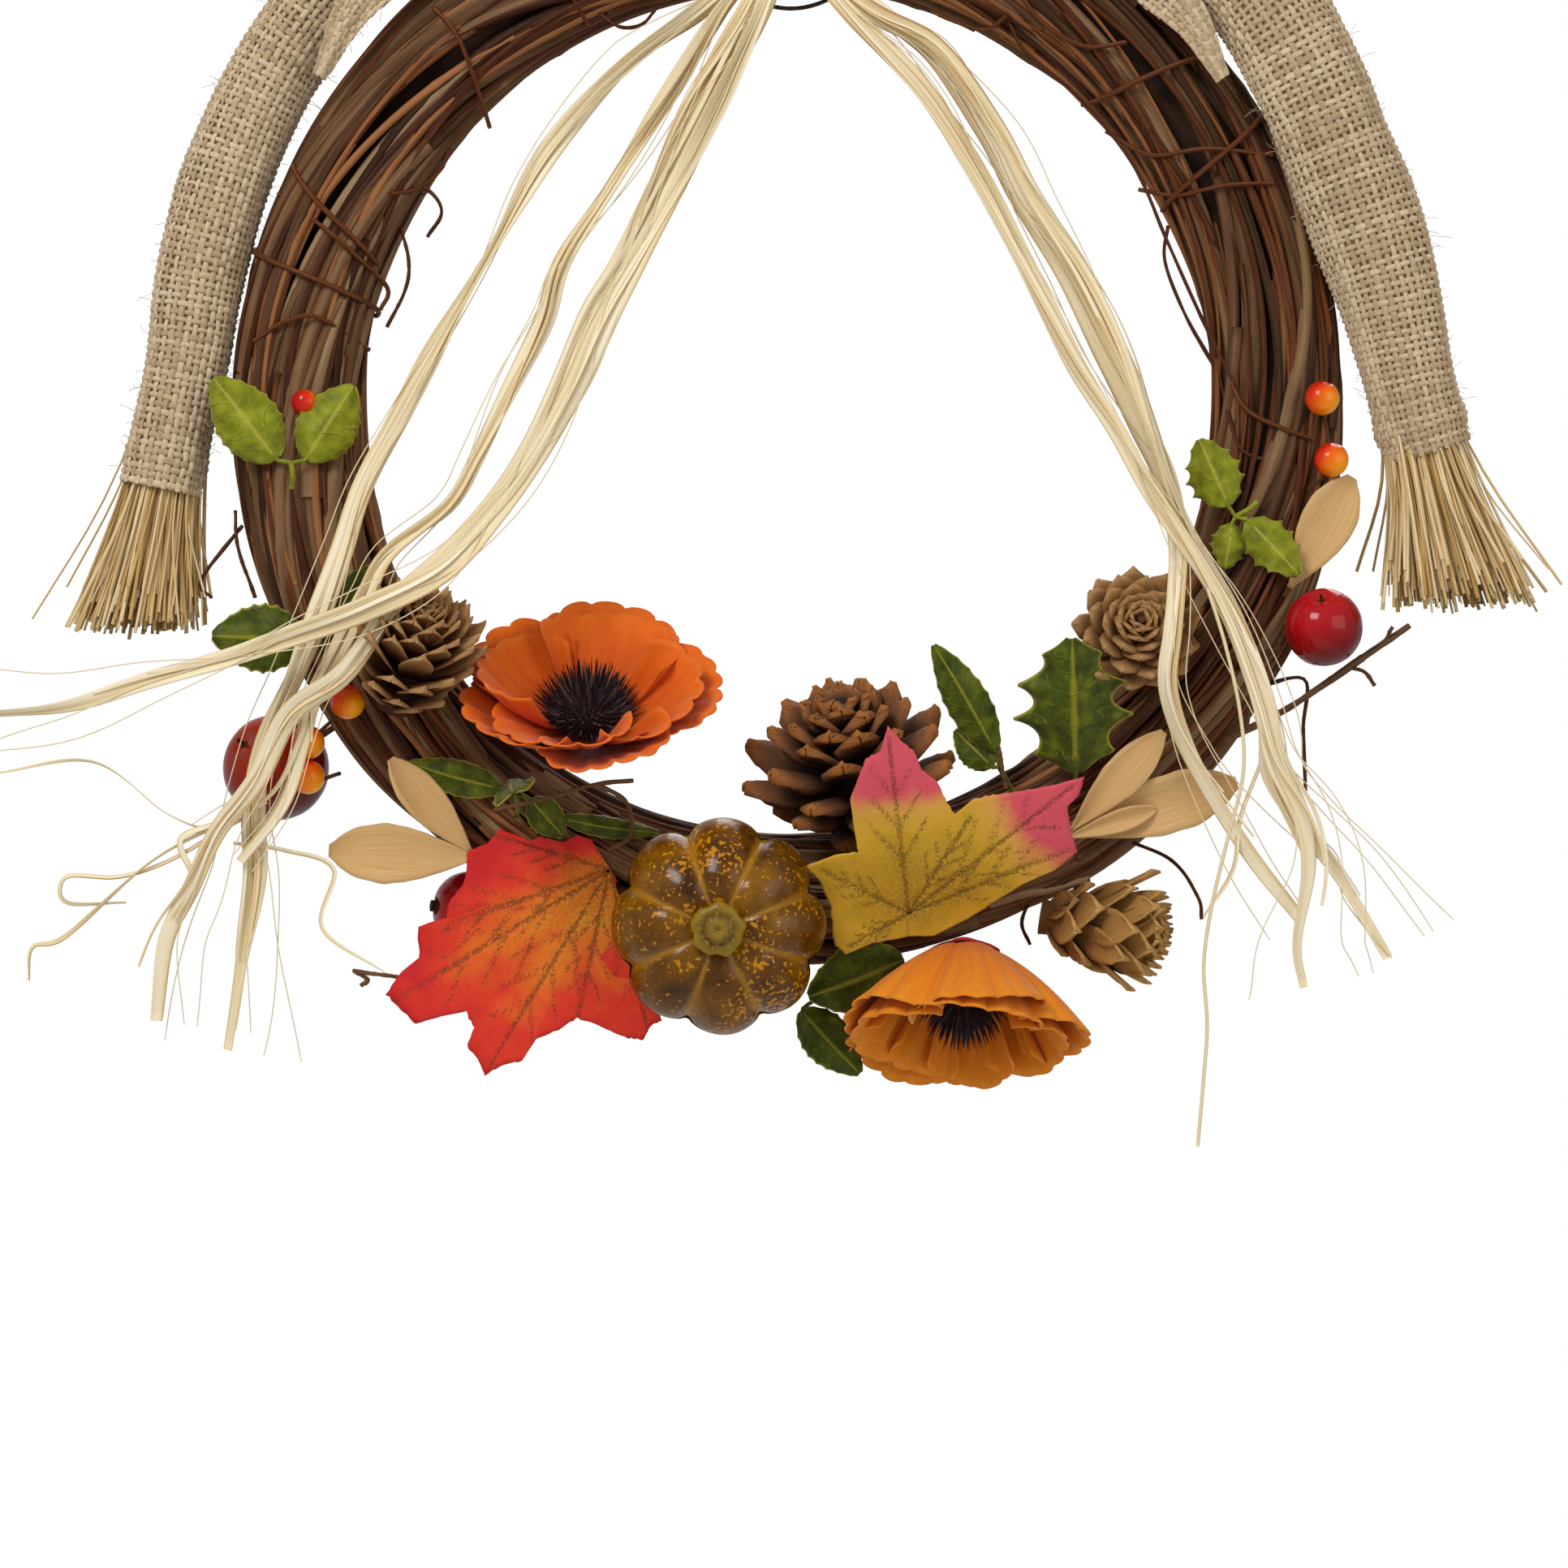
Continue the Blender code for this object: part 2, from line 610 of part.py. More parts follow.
def bowl_profile(radius, height, thickness, base_radius, stem=0.0):
    """A petal bowl's profile: up the outside from its base, over the rim and down the inside."""
    steps = 4
    outside = []
    for i in range(steps + 1):
        share = i / steps
        outside.append((base_radius + (radius - base_radius) * share**0.75, height * share**1.5))
    inside = [(max(r - thickness * 0.5, 0), h + thickness) for r, h in outside[::-1][1:]]
    rim = (radius, height + thickness)
    start = [(0, -stem), (STEM_RADIUS, -stem), (STEM_RADIUS, -0.9 * MM)] if stem else [(0, 0)]
    return start + outside + [rim] + inside + [(0, inside[-1][1])]


def make_flower(name, base, direction, radius, height, finish, frame, stem):
    """A fabric flower: two nested whorls of petals and a bristly centre."""
    dark = material("flower_centre", (0.03, 0.015, 0.02), 0.9)

    def scallop(angle, share):
        rim = max(0.0, 1 - abs(share - 0.55) / 0.3)
        return 1 - 0.07 * rim * abs(math.sin(3 * angle)) ** 3

    sides = 18
    core = 6.5 * MM
    facing = Vector(direction).normalized()
    bowl = bowl_profile(radius, height, PETAL, core, stem)
    outer = turned(f"{name}_outer_petals", bowl, sides, finish, frame, scallop)
    aim(outer, base, facing)
    lift = PETAL + 1.2 * MM
    bowl = bowl_profile(radius * 0.84, height * 0.98, PETAL, core)
    inner = turned(f"{name}_inner_petals", bowl, sides, finish, frame, scallop)
    aim(inner, base + facing * lift, facing, math.radians(30))
    heart = [(0, 0), (5.4 * MM, 0), (core, 1.5 * MM), (core * 1.5, height * 0.4)]
    heart += [(core * 1.2, height * 0.56), (0, height * 0.62)]
    centre = turned(f"{name}_centre", heart, 14, dark, frame)
    aim(centre, base + facing * (2 * lift + 1.2 * MM), facing)


def fan_plate(name, centre, outline, thickness, finish, frame):
    """A thin leaf: a fan of triangles from its vein centre to its outline, front and back."""
    thick = Vector((0, thickness, 0))
    count = len(outline)
    vertices = [centre, *outline, centre + thick, *[p + thick for p in outline]]
    faces = []
    back = count + 1
    for k in range(count):
        m = (k + 1) % count
        faces.append((0, 1 + k, 1 + m))
        faces.append((back, back + 1 + m, back + 1 + k))
        faces.append((1 + k, back + 1 + k, back + 1 + m, 1 + m))
    return solid(name, vertices, faces, finish, frame, smooth=False)


def make_maple_leaf(name, place, points, lean, finish, frame):
    """A maple leaf from its corner points round the vein centre, leaning out by lean."""
    outline = []
    for x, z in points:
        outline.append(place + Vector((x * MM, lean(x, z) * MM, z * MM)))
    fan_plate(name, place, outline, LEAF, finish, frame)


def blade(name, base, tip, width, finish, frame, bend=0.0):
    """A plain leaf from its base to its tip, pointed at both ends, bent forward by bend."""
    along = tip - base
    across = along.cross(Vector((0, 1, 0))).normalized()
    up = across.cross(along).normalized()
    rings = []
    widths = ((0.0, 0.08), (0.15, 0.62), (0.38, 1.0), (0.62, 0.92), (0.84, 0.5), (1.0, 0.06))
    for share, spread in widths:
        bow = Vector((0, -bend * math.sin(math.pi * share), 0))
        middle = base + along * share + bow
        half = across * width / 2 * spread
        thick = up * LEAF / 2
        fold = up * 0.12 * width * spread
        rings.append([middle - half + fold, middle - thick, middle + half + fold, middle + thick])
    return solid(name, *loft(rings), finish, frame)


def make_sprig(name, joint, leaves, finish, frame, stem_to=None):
    """Leaves on one short stem: each leaf is (base, tip, width, bend) in mm from the joint."""
    made = []
    up = Vector((0.3, 1, 0.2))
    for i, (base, tip, width, bend) in enumerate(leaves):
        start = joint + Vector(base) * MM
        end = joint + Vector(tip) * MM
        made.append(blade(f"leaf_{i}", start, end, width * MM, finish, frame, bend * MM))
        stalk = [joint, joint.lerp(start, 0.5), start.lerp(end, 0.12)]
        made.append(rod(f"stalk_{i}", stalk, STEM_RADIUS, 6, finish, frame, up))
    reach = joint + Vector(stem_to or (0, 0, -7)) * MM
    past_joint = joint + (joint - reach) * 0.12
    first = rod(name, [reach, past_joint], STEM_RADIUS * 1.3, 6, finish, frame, up)
    bpy.context.view_layer.update()
    return union(first, made)


def make_cones(frame):
    """Four pine cones as the outer shapes of their open scales."""
    scale_brown = material("cone", (0.17, 0.10, 0.055), 0.8)
    big_radius = BIG_CONE_RADIUS / MM
    big_length = BIG_CONE_LENGTH / MM
    # name, clock angle, mm outside the middle circle and in front, way to the tip, radius and length in mm
    cones = (
        ("left", 236.5, -13.5, 16.5, (0.30, -0.55, 0.75), 14.5, 34),
        ("big", BIG_CONE_CLOCK, -35.5, 7, (-0.15, -0.62, 0.75), big_radius, big_length),
        ("right", 123.2, -22.5, 13, (0.05, -0.95, 0.25), 15, 27),
        ("lower", 148.6, 31.5, 4, (1.0, -0.1, -0.16), 12, 34),
    )
    widths = ((0.06, 0.55), (0.25, 0.95), (0.42, 1.0), (0.62, 0.86), (0.82, 0.55), (0.95, 0.25))
    for name, clock, out, front, direction, radius, length in cones:
        profile = [(0, -length / 2 * MM)]
        for share, spread in widths:
            profile.append((radius * spread * MM, length * (share - 0.5) * MM))
        profile.append((0, length / 2 * MM))
        cone = turned(f"pine_cone_{name}", profile, 12, scale_brown, frame)
        aim(cone, spot(clock, out * MM, front * MM), direction)


def berry_profile(radius, rows=7):
    """A round berry's profile with a small dimple at its top."""
    profile = [(0, -radius)]
    for i in range(1, rows):
        angle = math.pi * i / rows
        profile.append((radius * math.sin(angle), -radius * math.cos(angle)))
    profile.append((0, radius * 0.93))
    return profile


def make_berries(frame):
    """Three big berries and two sprays of small ones."""
    red = material("berry_red", (0.35, 0.01, 0.015), 0.2)
    orange = material("berry_orange", (0.75, 0.10, 0.01), 0.2)
    back = -RING_DEPTH / 2
    big = (
        ("big_berry_left", spot(235.1, 37.3 * MM, back), LEFT_BERRY_RADIUS, (-0.5, -0.5, 0.4)),
        ("big_berry_right", spot(112.6, 22.5 * MM, 5.5 * MM), RIGHT_BERRY_RADIUS, (-0.8, -0.2, -0.3)),
        ("big_berry_lower", spot(212.5, 28.2 * MM, back + 2 * MM), HIDDEN_BERRY_RADIUS, (-0.9, -0.3, 0.1)),
    )
    for name, place, radius, direction in big:
        aim(turned(name, berry_profile(radius), 12, red, frame), place, direction)
    lift = SMALL_BERRY_RADIUS + 2 * GAP
    left = (spot(236, 9.6 * MM, lift), spot(235, 25 * MM, 3 * MM), spot(232.3, 30.5 * MM, 4 * MM))
    right = (spot(89.3, 10 * MM, lift), spot(95.8, 13.3 * MM, lift))
    stem_brown = material("stem", (0.09, 0.05, 0.03), 0.8)
    up = Vector((0.2, 1, 0.1))
    for name, places, stub in (("left", left, (9, -3, 2)), ("right", right, (-6, 1, -7))):
        path = [p + Vector((0, 0, -0.5 * MM)) for p in places]
        path.append(path[-1] + Vector(stub) * MM)
        stem = rod(f"small_berries_{name}", path, STEM_RADIUS, 6, stem_brown, frame, up)
        fruit = []
        for i, place in enumerate(places):
            berry = turned(f"fruit_{i}", berry_profile(SMALL_BERRY_RADIUS, 6), 10, orange, frame)
            fruit.append(aim(berry, place, (0.1, -1, 0.2)))
        bpy.context.view_layer.update()
        union(stem, fruit)


def make_curl(name, base, tip, width, rise, finish, frame, fold=None):
    """A curl of wood shaving: an oval strip that arches forward, with a folded second lobe."""
    made = []
    lobes = [(base, tip, width)]
    if fold:
        lobes.append(fold)
    for i, (start, end, wide) in enumerate(lobes):
        along = end - start
        across = along.cross(Vector((0, 1, 0))).normalized()
        rings = []
        steps = 7
        for k in range(steps + 1):
            share = k / steps
            spread = max(0.12, math.sin(math.pi * min(max(share, 0.03), 0.96)) ** 0.55)
            arch = Vector((0, -rise * math.sin(math.pi * share), 0))
            middle = start + along * share + arch
            half = across * wide / 2 * spread
            cup = Vector((0, -0.14 * wide * spread, 0))
            thick = Vector((0, LEAF / 2, 0))
            rings.append(
                [
                    middle - half + cup - thick,
                    middle - thick,
                    middle + half + cup - thick,
                    middle + half + cup + thick,
                    middle + thick,
                    middle - half + cup + thick,
                ]
            )
        made.append(solid(f"{name}_{i}" if i else name, *loft(rings), finish, frame))
    if fold:
        bpy.context.view_layer.update()
        union(made[0], made[1:])


def make_wood_curls(frame):
    """Three curls of pale wood shaving at the ring's edge."""
    wood = material("wood_curl", (0.55, 0.36, 0.19), 0.6)
    lower = spot(213.5, 14 * MM, 2.2 * MM)
    start = lower + Vector((-4, 0, 1)) * MM
    end = lower + Vector((-43, 0, 3)) * MM
    fold = (lower + Vector((-5, 0, 1)) * MM, lower + Vector((-26, -3, 28)) * MM, 9 * MM)
    make_curl("wood_curl_left", start, end, 15 * MM, 2 * MM, wood, frame, fold)
    right = spot(140, 11 * MM, 2.2 * MM)
    start = right + Vector((-20, 0, -5)) * MM
    end = right + Vector((28, -3, 9)) * MM
    fold = (right + Vector((-18, 0, -4)) * MM, right + Vector((10, -4, 23)) * MM, 9 * MM)
    make_curl("wood_curl_right", start, end, 15 * MM, 3 * MM, wood, frame, fold)
    side = spot(103.3, 15.5 * MM, 2 * MM)
    start = side + Vector((-10, 0, -15)) * MM
    end = side + Vector((7, -1, 15)) * MM
    make_curl("wood_curl_side", start, end, 14 * MM, 2 * MM, wood, frame)


def make_leaves(frame):
    """The two fabric maple leaves and seven sprigs of green leaves."""
    red = material("maple_red", (0.75, 0.06, 0.02), 0.7)
    yellow = material("maple_yellow", (0.50, 0.32, 0.06), 0.7)
    green = material("leaf_green", (0.20, 0.22, 0.03), 0.6)
    dark = material("leaf_dark", (0.07, 0.10, 0.02), 0.55)
    red_points = (
        (-3, 3), (-8, 9.5), (-21, 9.5), (-32, 10.5), (-33, 2), (-39, -11.5), (-52, -17), (-58, -32),
        (-61.5, -36), (-54, -42), (-38, -42.5), (-36, -50), (-33, -56.5), (-18, -49), (-8, -44),
        (2, -44.5), (12.5, -42), (8, -38), (-3.5, -26), (-2, -12), (2, -3),
    )
    place = spot(201.05, 0.5 * MM, 3.4 * MM)

    def red_lean(x, z):
        return 0.022 * x + 0.02 * z + 1.2

    make_maple_leaf("maple_leaf_red", place, red_points, red_lean, red, frame)
    yellow_points = (
        (0, -5), (-10, -8), (-17, -11), (-21, 0), (-26, 13), (-12, 19), (-13, 35), (-6, 50.5),
        (3, 41), (13, 27), (26, 32), (45.5, 37), (45, 25), (44.5, 17), (30, 6), (18, -1), (7, -6),
    )
    place = spot(YELLOW_LEAF_CLOCK, 7 * MM, 10.5 * MM)

    def yellow_lean(_, z):
        return -28 * (1 - math.exp(-max(z, 0) / 24)) - 0.5

    make_maple_leaf("maple_leaf_yellow", place, yellow_points, yellow_lean, yellow, frame)
    at = spot(263.4, 1.5 * MM, 2.6 * MM)
    make_sprig(
        "leaf_sprig_upper_left", at,
        (((-4, 0, 1), (-21, -1, 21), 17, 1.5), ((4, 0, 1), (17, -1, 21), 15, 1.5)), green, frame,
    )
    at = spot(243.5, 8 * MM, 2.6 * MM)
    make_sprig(
        "leaf_sprig_left", at,
        (((-4, 0, 0), (-29, -1, 1), 19, 1.5), ((4, -1, 2), (15, -1, 20), 13, 1)), dark, frame, (4, 3, -5),
    )
    at = spot(215.2, -6 * MM, 3 * MM)
    make_sprig(
        "leaf_sprig_lower_left", at,
        (
            ((-4, -1, 1), (-29, -1, 8), 10, 1), ((4, 0, -2), (13, -1, -12), 10, 1),
            ((-1, -15, 3), (1, -34, 0), 13, 1), ((12, 0, -7), (39, -1, -11), 6, 1),
        ),
        dark, frame,
    )
    at = spot(104, -9.5 * MM, 2.6 * MM)
    make_sprig(
        "leaf_sprig_right", at,
        (
            ((-2, 0, 3), (-10, -1, 21), 15, 1), ((-1, 0, -2), (-3, -1, -14), 10, 1),
            ((3, -2.5, -1), (16.5, -7, -16), 13, 1),
        ),
        green, frame, (6, 0, 4),
    )
    at = spot(149.8, -21 * MM, 2.6 * MM)
    make_sprig(
        "leaf_sprig_centre", at,
        (((-1, 0, 4), (-18, -6, 33), 12, 1), ((-2, 0, 0), (-12, 3, 10), 10, 1)), dark, frame, (6, 5.2, -13.5),
    )
    at = spot(143.5, -4 * MM, 3.2 * MM)
    make_sprig("leaf_sprig_holly", at, (((0, -4, 5), (-2, -23, 41), 27, 1),), dark, frame, (-4, 3, -3))
    at = spot(174, 22 * MM, -4 * MM)
    make_sprig(
        "leaf_sprig_bottom", at,
        (((2, 0, -1), (13, -2, 3), 12, 1), ((-1, -1, -4), (-8, -3, -24), 16, 1)), dark, frame, (-4, 0, 3),
    )


def make_twigs(frame):
    """Two bare twigs, one forked."""
    bark = material("twig", (0.10, 0.075, 0.055), 0.85)
    up = Vector((0, 1, 0.1))
    start = spot(127.5, 15 * MM, -2 * MM)
    main = [start + Vector(step) * MM for step in ((0, 0, 0), (16, 0, 8), (34, 1, 20), (50, 4, 31))]
    fork = [start + Vector(step) * MM for step in ((6, 0, 3), (8, -2, 14), (14, -2, 19))]
    twig = rod("twig_right", main, TWIG_RADIUS, 6, bark, frame, up)
    side = rod("fork", fork, 0.7 * MM, 6, bark, frame, up)
    bpy.context.view_layer.update()
    union(twig, [side])
    start = spot(158, 11.8 * MM, 1.6 * MM)
    low = [start + Vector(step) * MM for step in ((0, 0, 0), (10, -1, 3), (24, 0, 6.4))]
    rod("twig_lower", low, TWIG_RADIUS, 6, bark, frame, up)


def empty(name, place, parent=None):
    """A plain axes empty that other objects are parented to."""
    made = bpy.data.objects.new(name, None)
    made.location = place
    made.parent = parent
    bpy.context.collection.objects.link(made)
    return made


def main():
    """Builds the whole wreath."""
    for thing in list(bpy.data.objects):
        bpy.data.objects.remove(thing)
    frame = empty("ring_centre", Vector((0, -LOOP_Y, -HOOK_Z + HANGER_WIRE_RADIUS)))
    loop_pivot = empty("hanging_loop_pivot", Vector((0, LOOP_Y, LOOP_BAR_Z)), frame)
    left_pivot = empty("arm_left_pivot", Vector((-SHOULDER_SPACING / 2, 0, SHOULDER_Z)), frame)
    right_pivot = empty("arm_right_pivot", Vector((SHOULDER_SPACING / 2, 0, SHOULDER_Z)), frame)
    make_ring(frame)
    make_hanger(frame, loop_pivot)
    make_arm(-1, left_pivot)
    make_arm(1, right_pivot)
    make_bow(frame)
    make_raffia(frame)
    make_pumpkin(frame)
    orange = material("petal_orange", (0.62, 0.14, 0.01), 0.75)
    amber = material("petal_amber", (0.62, 0.17, 0.01), 0.75)
    place = spot(211.5, -30.5 * MM, 3.5 * MM)
    facing = (0, -0.63, 0.78)
    make_flower("upper_flower", place, facing, UPPER_FLOWER_RADIUS, 14 * MM, orange, frame, 12 * MM)
    place = spot(162, 21 * MM, 2 * MM)
    facing = (-0.05, -0.43, -0.9)
    make_flower("lower_flower", place, facing, LOWER_FLOWER_RADIUS, 28 * MM, amber, frame, 3 * MM)
    make_leaves(frame)
    make_cones(frame)
    make_berries(frame)
    make_wood_curls(frame)
    make_twigs(frame)


main()
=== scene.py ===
"""Looks of the harvest door wreath: every piece that shows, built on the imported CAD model.

Lengths named here are in millimetres and places are measured from the ring's centre, with +X to
the viewer's right, +Z up and the front facing -Y; at() turns them into the row frame's metres.
"""

import math
import random

import bpy
from mathutils import Matrix, Vector, noise


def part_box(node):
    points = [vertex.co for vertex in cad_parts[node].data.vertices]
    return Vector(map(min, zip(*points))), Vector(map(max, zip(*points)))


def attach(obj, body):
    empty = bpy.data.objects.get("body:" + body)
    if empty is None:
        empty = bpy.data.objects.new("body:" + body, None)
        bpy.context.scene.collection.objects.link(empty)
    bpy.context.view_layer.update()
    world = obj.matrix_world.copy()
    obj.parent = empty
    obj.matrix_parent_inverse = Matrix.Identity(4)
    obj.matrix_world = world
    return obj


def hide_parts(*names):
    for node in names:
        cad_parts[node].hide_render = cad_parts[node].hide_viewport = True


MM = 0.001
TWO_PI = 2 * math.pi
GOLDEN_ANGLE = 2.39996
FORWARD = Vector((0, -1, 0))

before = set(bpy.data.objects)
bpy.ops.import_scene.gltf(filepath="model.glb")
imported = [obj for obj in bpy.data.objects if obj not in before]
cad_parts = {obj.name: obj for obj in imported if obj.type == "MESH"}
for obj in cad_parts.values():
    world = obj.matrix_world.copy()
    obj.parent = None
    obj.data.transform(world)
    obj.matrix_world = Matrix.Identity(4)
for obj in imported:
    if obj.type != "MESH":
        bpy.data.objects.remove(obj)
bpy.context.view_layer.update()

# The ring's measures in mm, from the CAD's core and one of its canes
CORE_LOW, CORE_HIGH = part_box("vine_core")
CANE_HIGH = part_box("vine_cane_1")[1]
CENTRE = (CORE_LOW + CORE_HIGH) / 2
OUTER = (CANE_HIGH.z - CENTRE.z) / MM
HALF_DEPTH = (CANE_HIGH.y - CENTRE.y) / MM
CORE_OUTER = (CORE_HIGH.z - CENTRE.z) / MM
CORE_HALF_DEPTH = (CORE_HIGH.y - CENTRE.y) / MM
CANE_OVERLAP = 2.7
MIDDLE = OUTER - ((OUTER - CORE_OUTER) + CORE_HALF_DEPTH + CANE_OVERLAP)
SPREAD = OUTER - MIDDLE


def at(x, y, z):
    """A place in millimetres from the ring's centre, in the row frame's metres."""
    return CENTRE + Vector((x, y, z)) * MM


def spot(clock, out=0.0, front=0.0):
    """The place at a clock angle, outside the middle circle and in front of the ring's front, in mm."""
    angle = math.radians(clock)
    radius = MIDDLE + out
    return Vector((radius * math.sin(angle), -HALF_DEPTH - front, radius * math.cos(angle)))


# ---------------------------------------------------------------- meshes


class Pile:
    """Vertices and faces of many parts that become one mesh, with a UV and a shade for each vertex."""

    def __init__(self):
        self.points = []
        self.faces = []
        self.uvs = []
        self.shades = []

    def add(self, points, faces, uvs=None, shades=None):
        """Adds points in mm from the ring's centre and the faces between them."""
        first = len(self.points)
        self.points.extend(points)
        self.faces.extend([tuple(first + i for i in face) for face in faces])
        self.uvs.extend(uvs or [(0.0, 0.0)] * len(points))
        self.shades.extend(shades or [0.5] * len(points))

    def made(self, name, finish, slot, *nodes, body="wreath"):
        """The mesh object of everything added: it rides on a body and replaces CAD nodes; slot is not used."""
        mesh = bpy.data.meshes.new(name)
        mesh.from_pydata([tuple(CENTRE + Vector(p) * MM) for p in self.points], [], self.faces)
        layer = mesh.uv_layers.new(name="UVMap")
        corners = [0] * len(mesh.loops)
        mesh.loops.foreach_get("vertex_index", corners)
        flat = [value for corner in corners for value in self.uvs[corner]]
        layer.data.foreach_set("uv", flat)
        shade = mesh.attributes.new("shade", "FLOAT", "POINT")
        shade.data.foreach_set("value", self.shades)
        mesh.shade_smooth()
        mesh.materials.append(finish)
        thing = bpy.data.objects.new(name, mesh)
        bpy.context.scene.collection.objects.link(thing)
        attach(thing, body)
        if nodes:
            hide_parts(*nodes)
        return thing


def smooth_route(points, count):
    """Evenly spaced points on a Catmull-Rom curve through the given points."""
    points = [Vector(p) for p in points]
    ends = [2 * points[0] - points[1]] + points + [2 * points[-1] - points[-2]]
    fine = []
    for i in range(1, len(ends) - 2):
        a, b, c, d = ends[i - 1 : i + 3]
        for k in range(16):
            t = k / 16
            bend = (2 * a - 5 * b + 4 * c - d) * t**2 + (3 * b - 3 * c + d - a) * t**3
            fine.append(0.5 * (2 * b + (c - a) * t + bend))
    fine.append(points[-1])
    travelled = [0.0]
    for a, b in zip(fine, fine[1:]):
        travelled.append(travelled[-1] + (b - a).length)
    even = []
    j = 0
    for i in range(count):
        target = travelled[-1] * i / (count - 1)
        while j < len(fine) - 2 and travelled[j + 1] < target:
            j += 1
        share = (target - travelled[j]) / max(travelled[j + 1] - travelled[j], 1e-9)
        even.append(fine[j].lerp(fine[j + 1], min(max(share, 0.0), 1.0)))
    return even


def route_length(points):
    """The length of a run of points."""
    return sum((b - a).length for a, b in zip(points, points[1:]))


def eased(value, first, last):
    """0 below first, 1 above last, and smooth between them."""
    share = min(max((value - first) / (last - first), 0), 1)
    return share * share * (3 - 2 * share)


def heading(path, i, closed=False):
    """The direction of a path at one of its points."""
    before = path[i - 1] if i or closed else path[i]
    after = path[(i + 1) % len(path)] if i < len(path) - 1 or closed else path[i]
    return (after - before).normalized()


def frames_along(path, up, closed=False):
    """(point, across, lift, along) at each point of a path, with lift kept close to up."""
    result = []
    for i, point in enumerate(path):
        along = heading(path, i, closed)
        across = along.cross(up).normalized()
        result.append((point, across, across.cross(along), along))
    return result


def walk(path, up=FORWARD, closed=False):
    """(share of the points, distance travelled, point, across, lift) at each point of a path."""
    travelled = 0.0
    for i, (point, across, lift, _) in enumerate(frames_along(path, up, closed)):
        if i:
            travelled += (point - path[i - 1]).length
        yield i / (len(path) - 1), travelled, point, across, lift


def between(items, share):
    """The two items on either side of a share of a list's length, and how far on from the first it is."""
    spread = share * (len(items) - 1)
    i = min(int(spread), len(items) - 2)
    return items[i], items[i + 1], spread - i


def stitch(rows, count, closed=False):
    """Faces between rows of points that go round; the ends are capped, or joined when it is closed."""
    faces = []
    for i in range(rows if closed else rows - 1):
        j = (i + 1) % rows
        for k in range(count):
            m = (k + 1) % count
            faces.append((i * count + k, i * count + m, j * count + m, j * count + k))
    if not closed:
        faces.append(tuple(range(count)))
        faces.append(tuple((rows - 1) * count + k for k in reversed(range(count))))
    return faces


def tube(pile, path, radius, sides=8, up=FORWARD, closed=False, shade=0.5):
    """A round strand; radius is a number or radius(share along, angle round)."""
    points = []
    uvs = []
    for share, travelled, point, across, lift in walk(path, up, closed):
        for k in range(sides):
            angle = TWO_PI * k / sides
            size = radius(share, angle) if callable(radius) else radius
            points.append(point + (across * math.cos(angle) + lift * math.sin(angle)) * size)
            uvs.append((k / sides, travelled))
    pile.add(points, stitch(len(path), sides, closed), uvs, [shade] * len(points))


# ---------------------------------------------------------------- materials


def finish_nodes(name, roughness, sheen=0.0, coat=0.0):
    """A new material with its node tree and Principled shader."""
    made = bpy.data.materials.new(name)
    made.use_nodes = True
    tree = made.node_tree
    shader = tree.nodes["Principled BSDF"]
    shader.inputs["Roughness"].default_value = roughness
    shader.inputs["Sheen Weight"].default_value = sheen
    shader.inputs["Specular IOR Level"].default_value = 0.15
    shader.inputs["Coat Weight"].default_value = coat
    return made, tree, shader


def colour(code):
    """A linear colour from a six-digit code of red, green and blue."""
    values = [int(code[i : i + 2], 16) / 255 for i in (0, 2, 4)]
    return (*[v / 12.92 if v <= 0.04045 else ((v + 0.055) / 1.055) ** 2.4 for v in values], 1.0)


def ramp(tree, factor, stops):
    """A colour ramp on a value, from (place, colour code) stops."""
    node = tree.nodes.new("ShaderNodeValToRGB")
    while len(node.color_ramp.elements) < len(stops):
        node.color_ramp.elements.new(0.5)
    for element, (place, code) in zip(node.color_ramp.elements, stops):
        element.position = place
        element.color = colour(code)
    tree.links.new(factor, node.inputs["Fac"])
    return node.outputs["Color"]


def coordinates(tree, kind, stretch=(1, 1, 1)):
    """The UV or the object's own coordinates, scaled."""
    source = tree.nodes.new("ShaderNodeTexCoord")
    mapping = tree.nodes.new("ShaderNodeMapping")
    mapping.inputs["Scale"].default_value = stretch
    tree.links.new(source.outputs[kind], mapping.inputs["Vector"])
    return mapping.outputs["Vector"]


def noisy(tree, vector, scale, detail=4.0, roughness=0.55):
    """The value of a noise texture."""
    node = tree.nodes.new("ShaderNodeTexNoise")
    node.inputs["Scale"].default_value = scale
    node.inputs["Detail"].default_value = detail
    node.inputs["Roughness"].default_value = roughness
    tree.links.new(vector, node.inputs["Vector"])
    return node.outputs["Fac"]


def value_of(tree, name):
    """A value kept on the mesh's points."""
    node = tree.nodes.new("ShaderNodeAttribute")
    node.attribute_name = name
    return node.outputs["Fac"]


def maths(tree, operation, a, b):
    """A Math node of two inputs, each a socket or a number."""
    node = tree.nodes.new("ShaderNodeMath")
    node.operation = operation
    for socket, given in zip(node.inputs, (a, b)):
        if isinstance(given, (int, float)):
            socket.default_value = given
        else:
            tree.links.new(given, socket)
    return node.outputs["Value"]


def weighted(tree, a, share_a, b, share_b):
    """The sum of two sockets, each times a number."""
    return maths(tree, "ADD", maths(tree, "MULTIPLY", a, share_a), maths(tree, "MULTIPLY", b, share_b))


def blended(tree, factor, a, b):
    """Two colours mixed by a socket's value; each is a socket or a colour code."""
    node = tree.nodes.new("ShaderNodeMix")
    node.data_type = "RGBA"
    tree.links.new(factor, node.inputs["Factor"])
    for socket, given in zip((node.inputs[6], node.inputs[7]), (a, b)):
        if isinstance(given, str):
            socket.default_value = colour(given)
        else:
            tree.links.new(given, socket)
    return node.outputs[2]


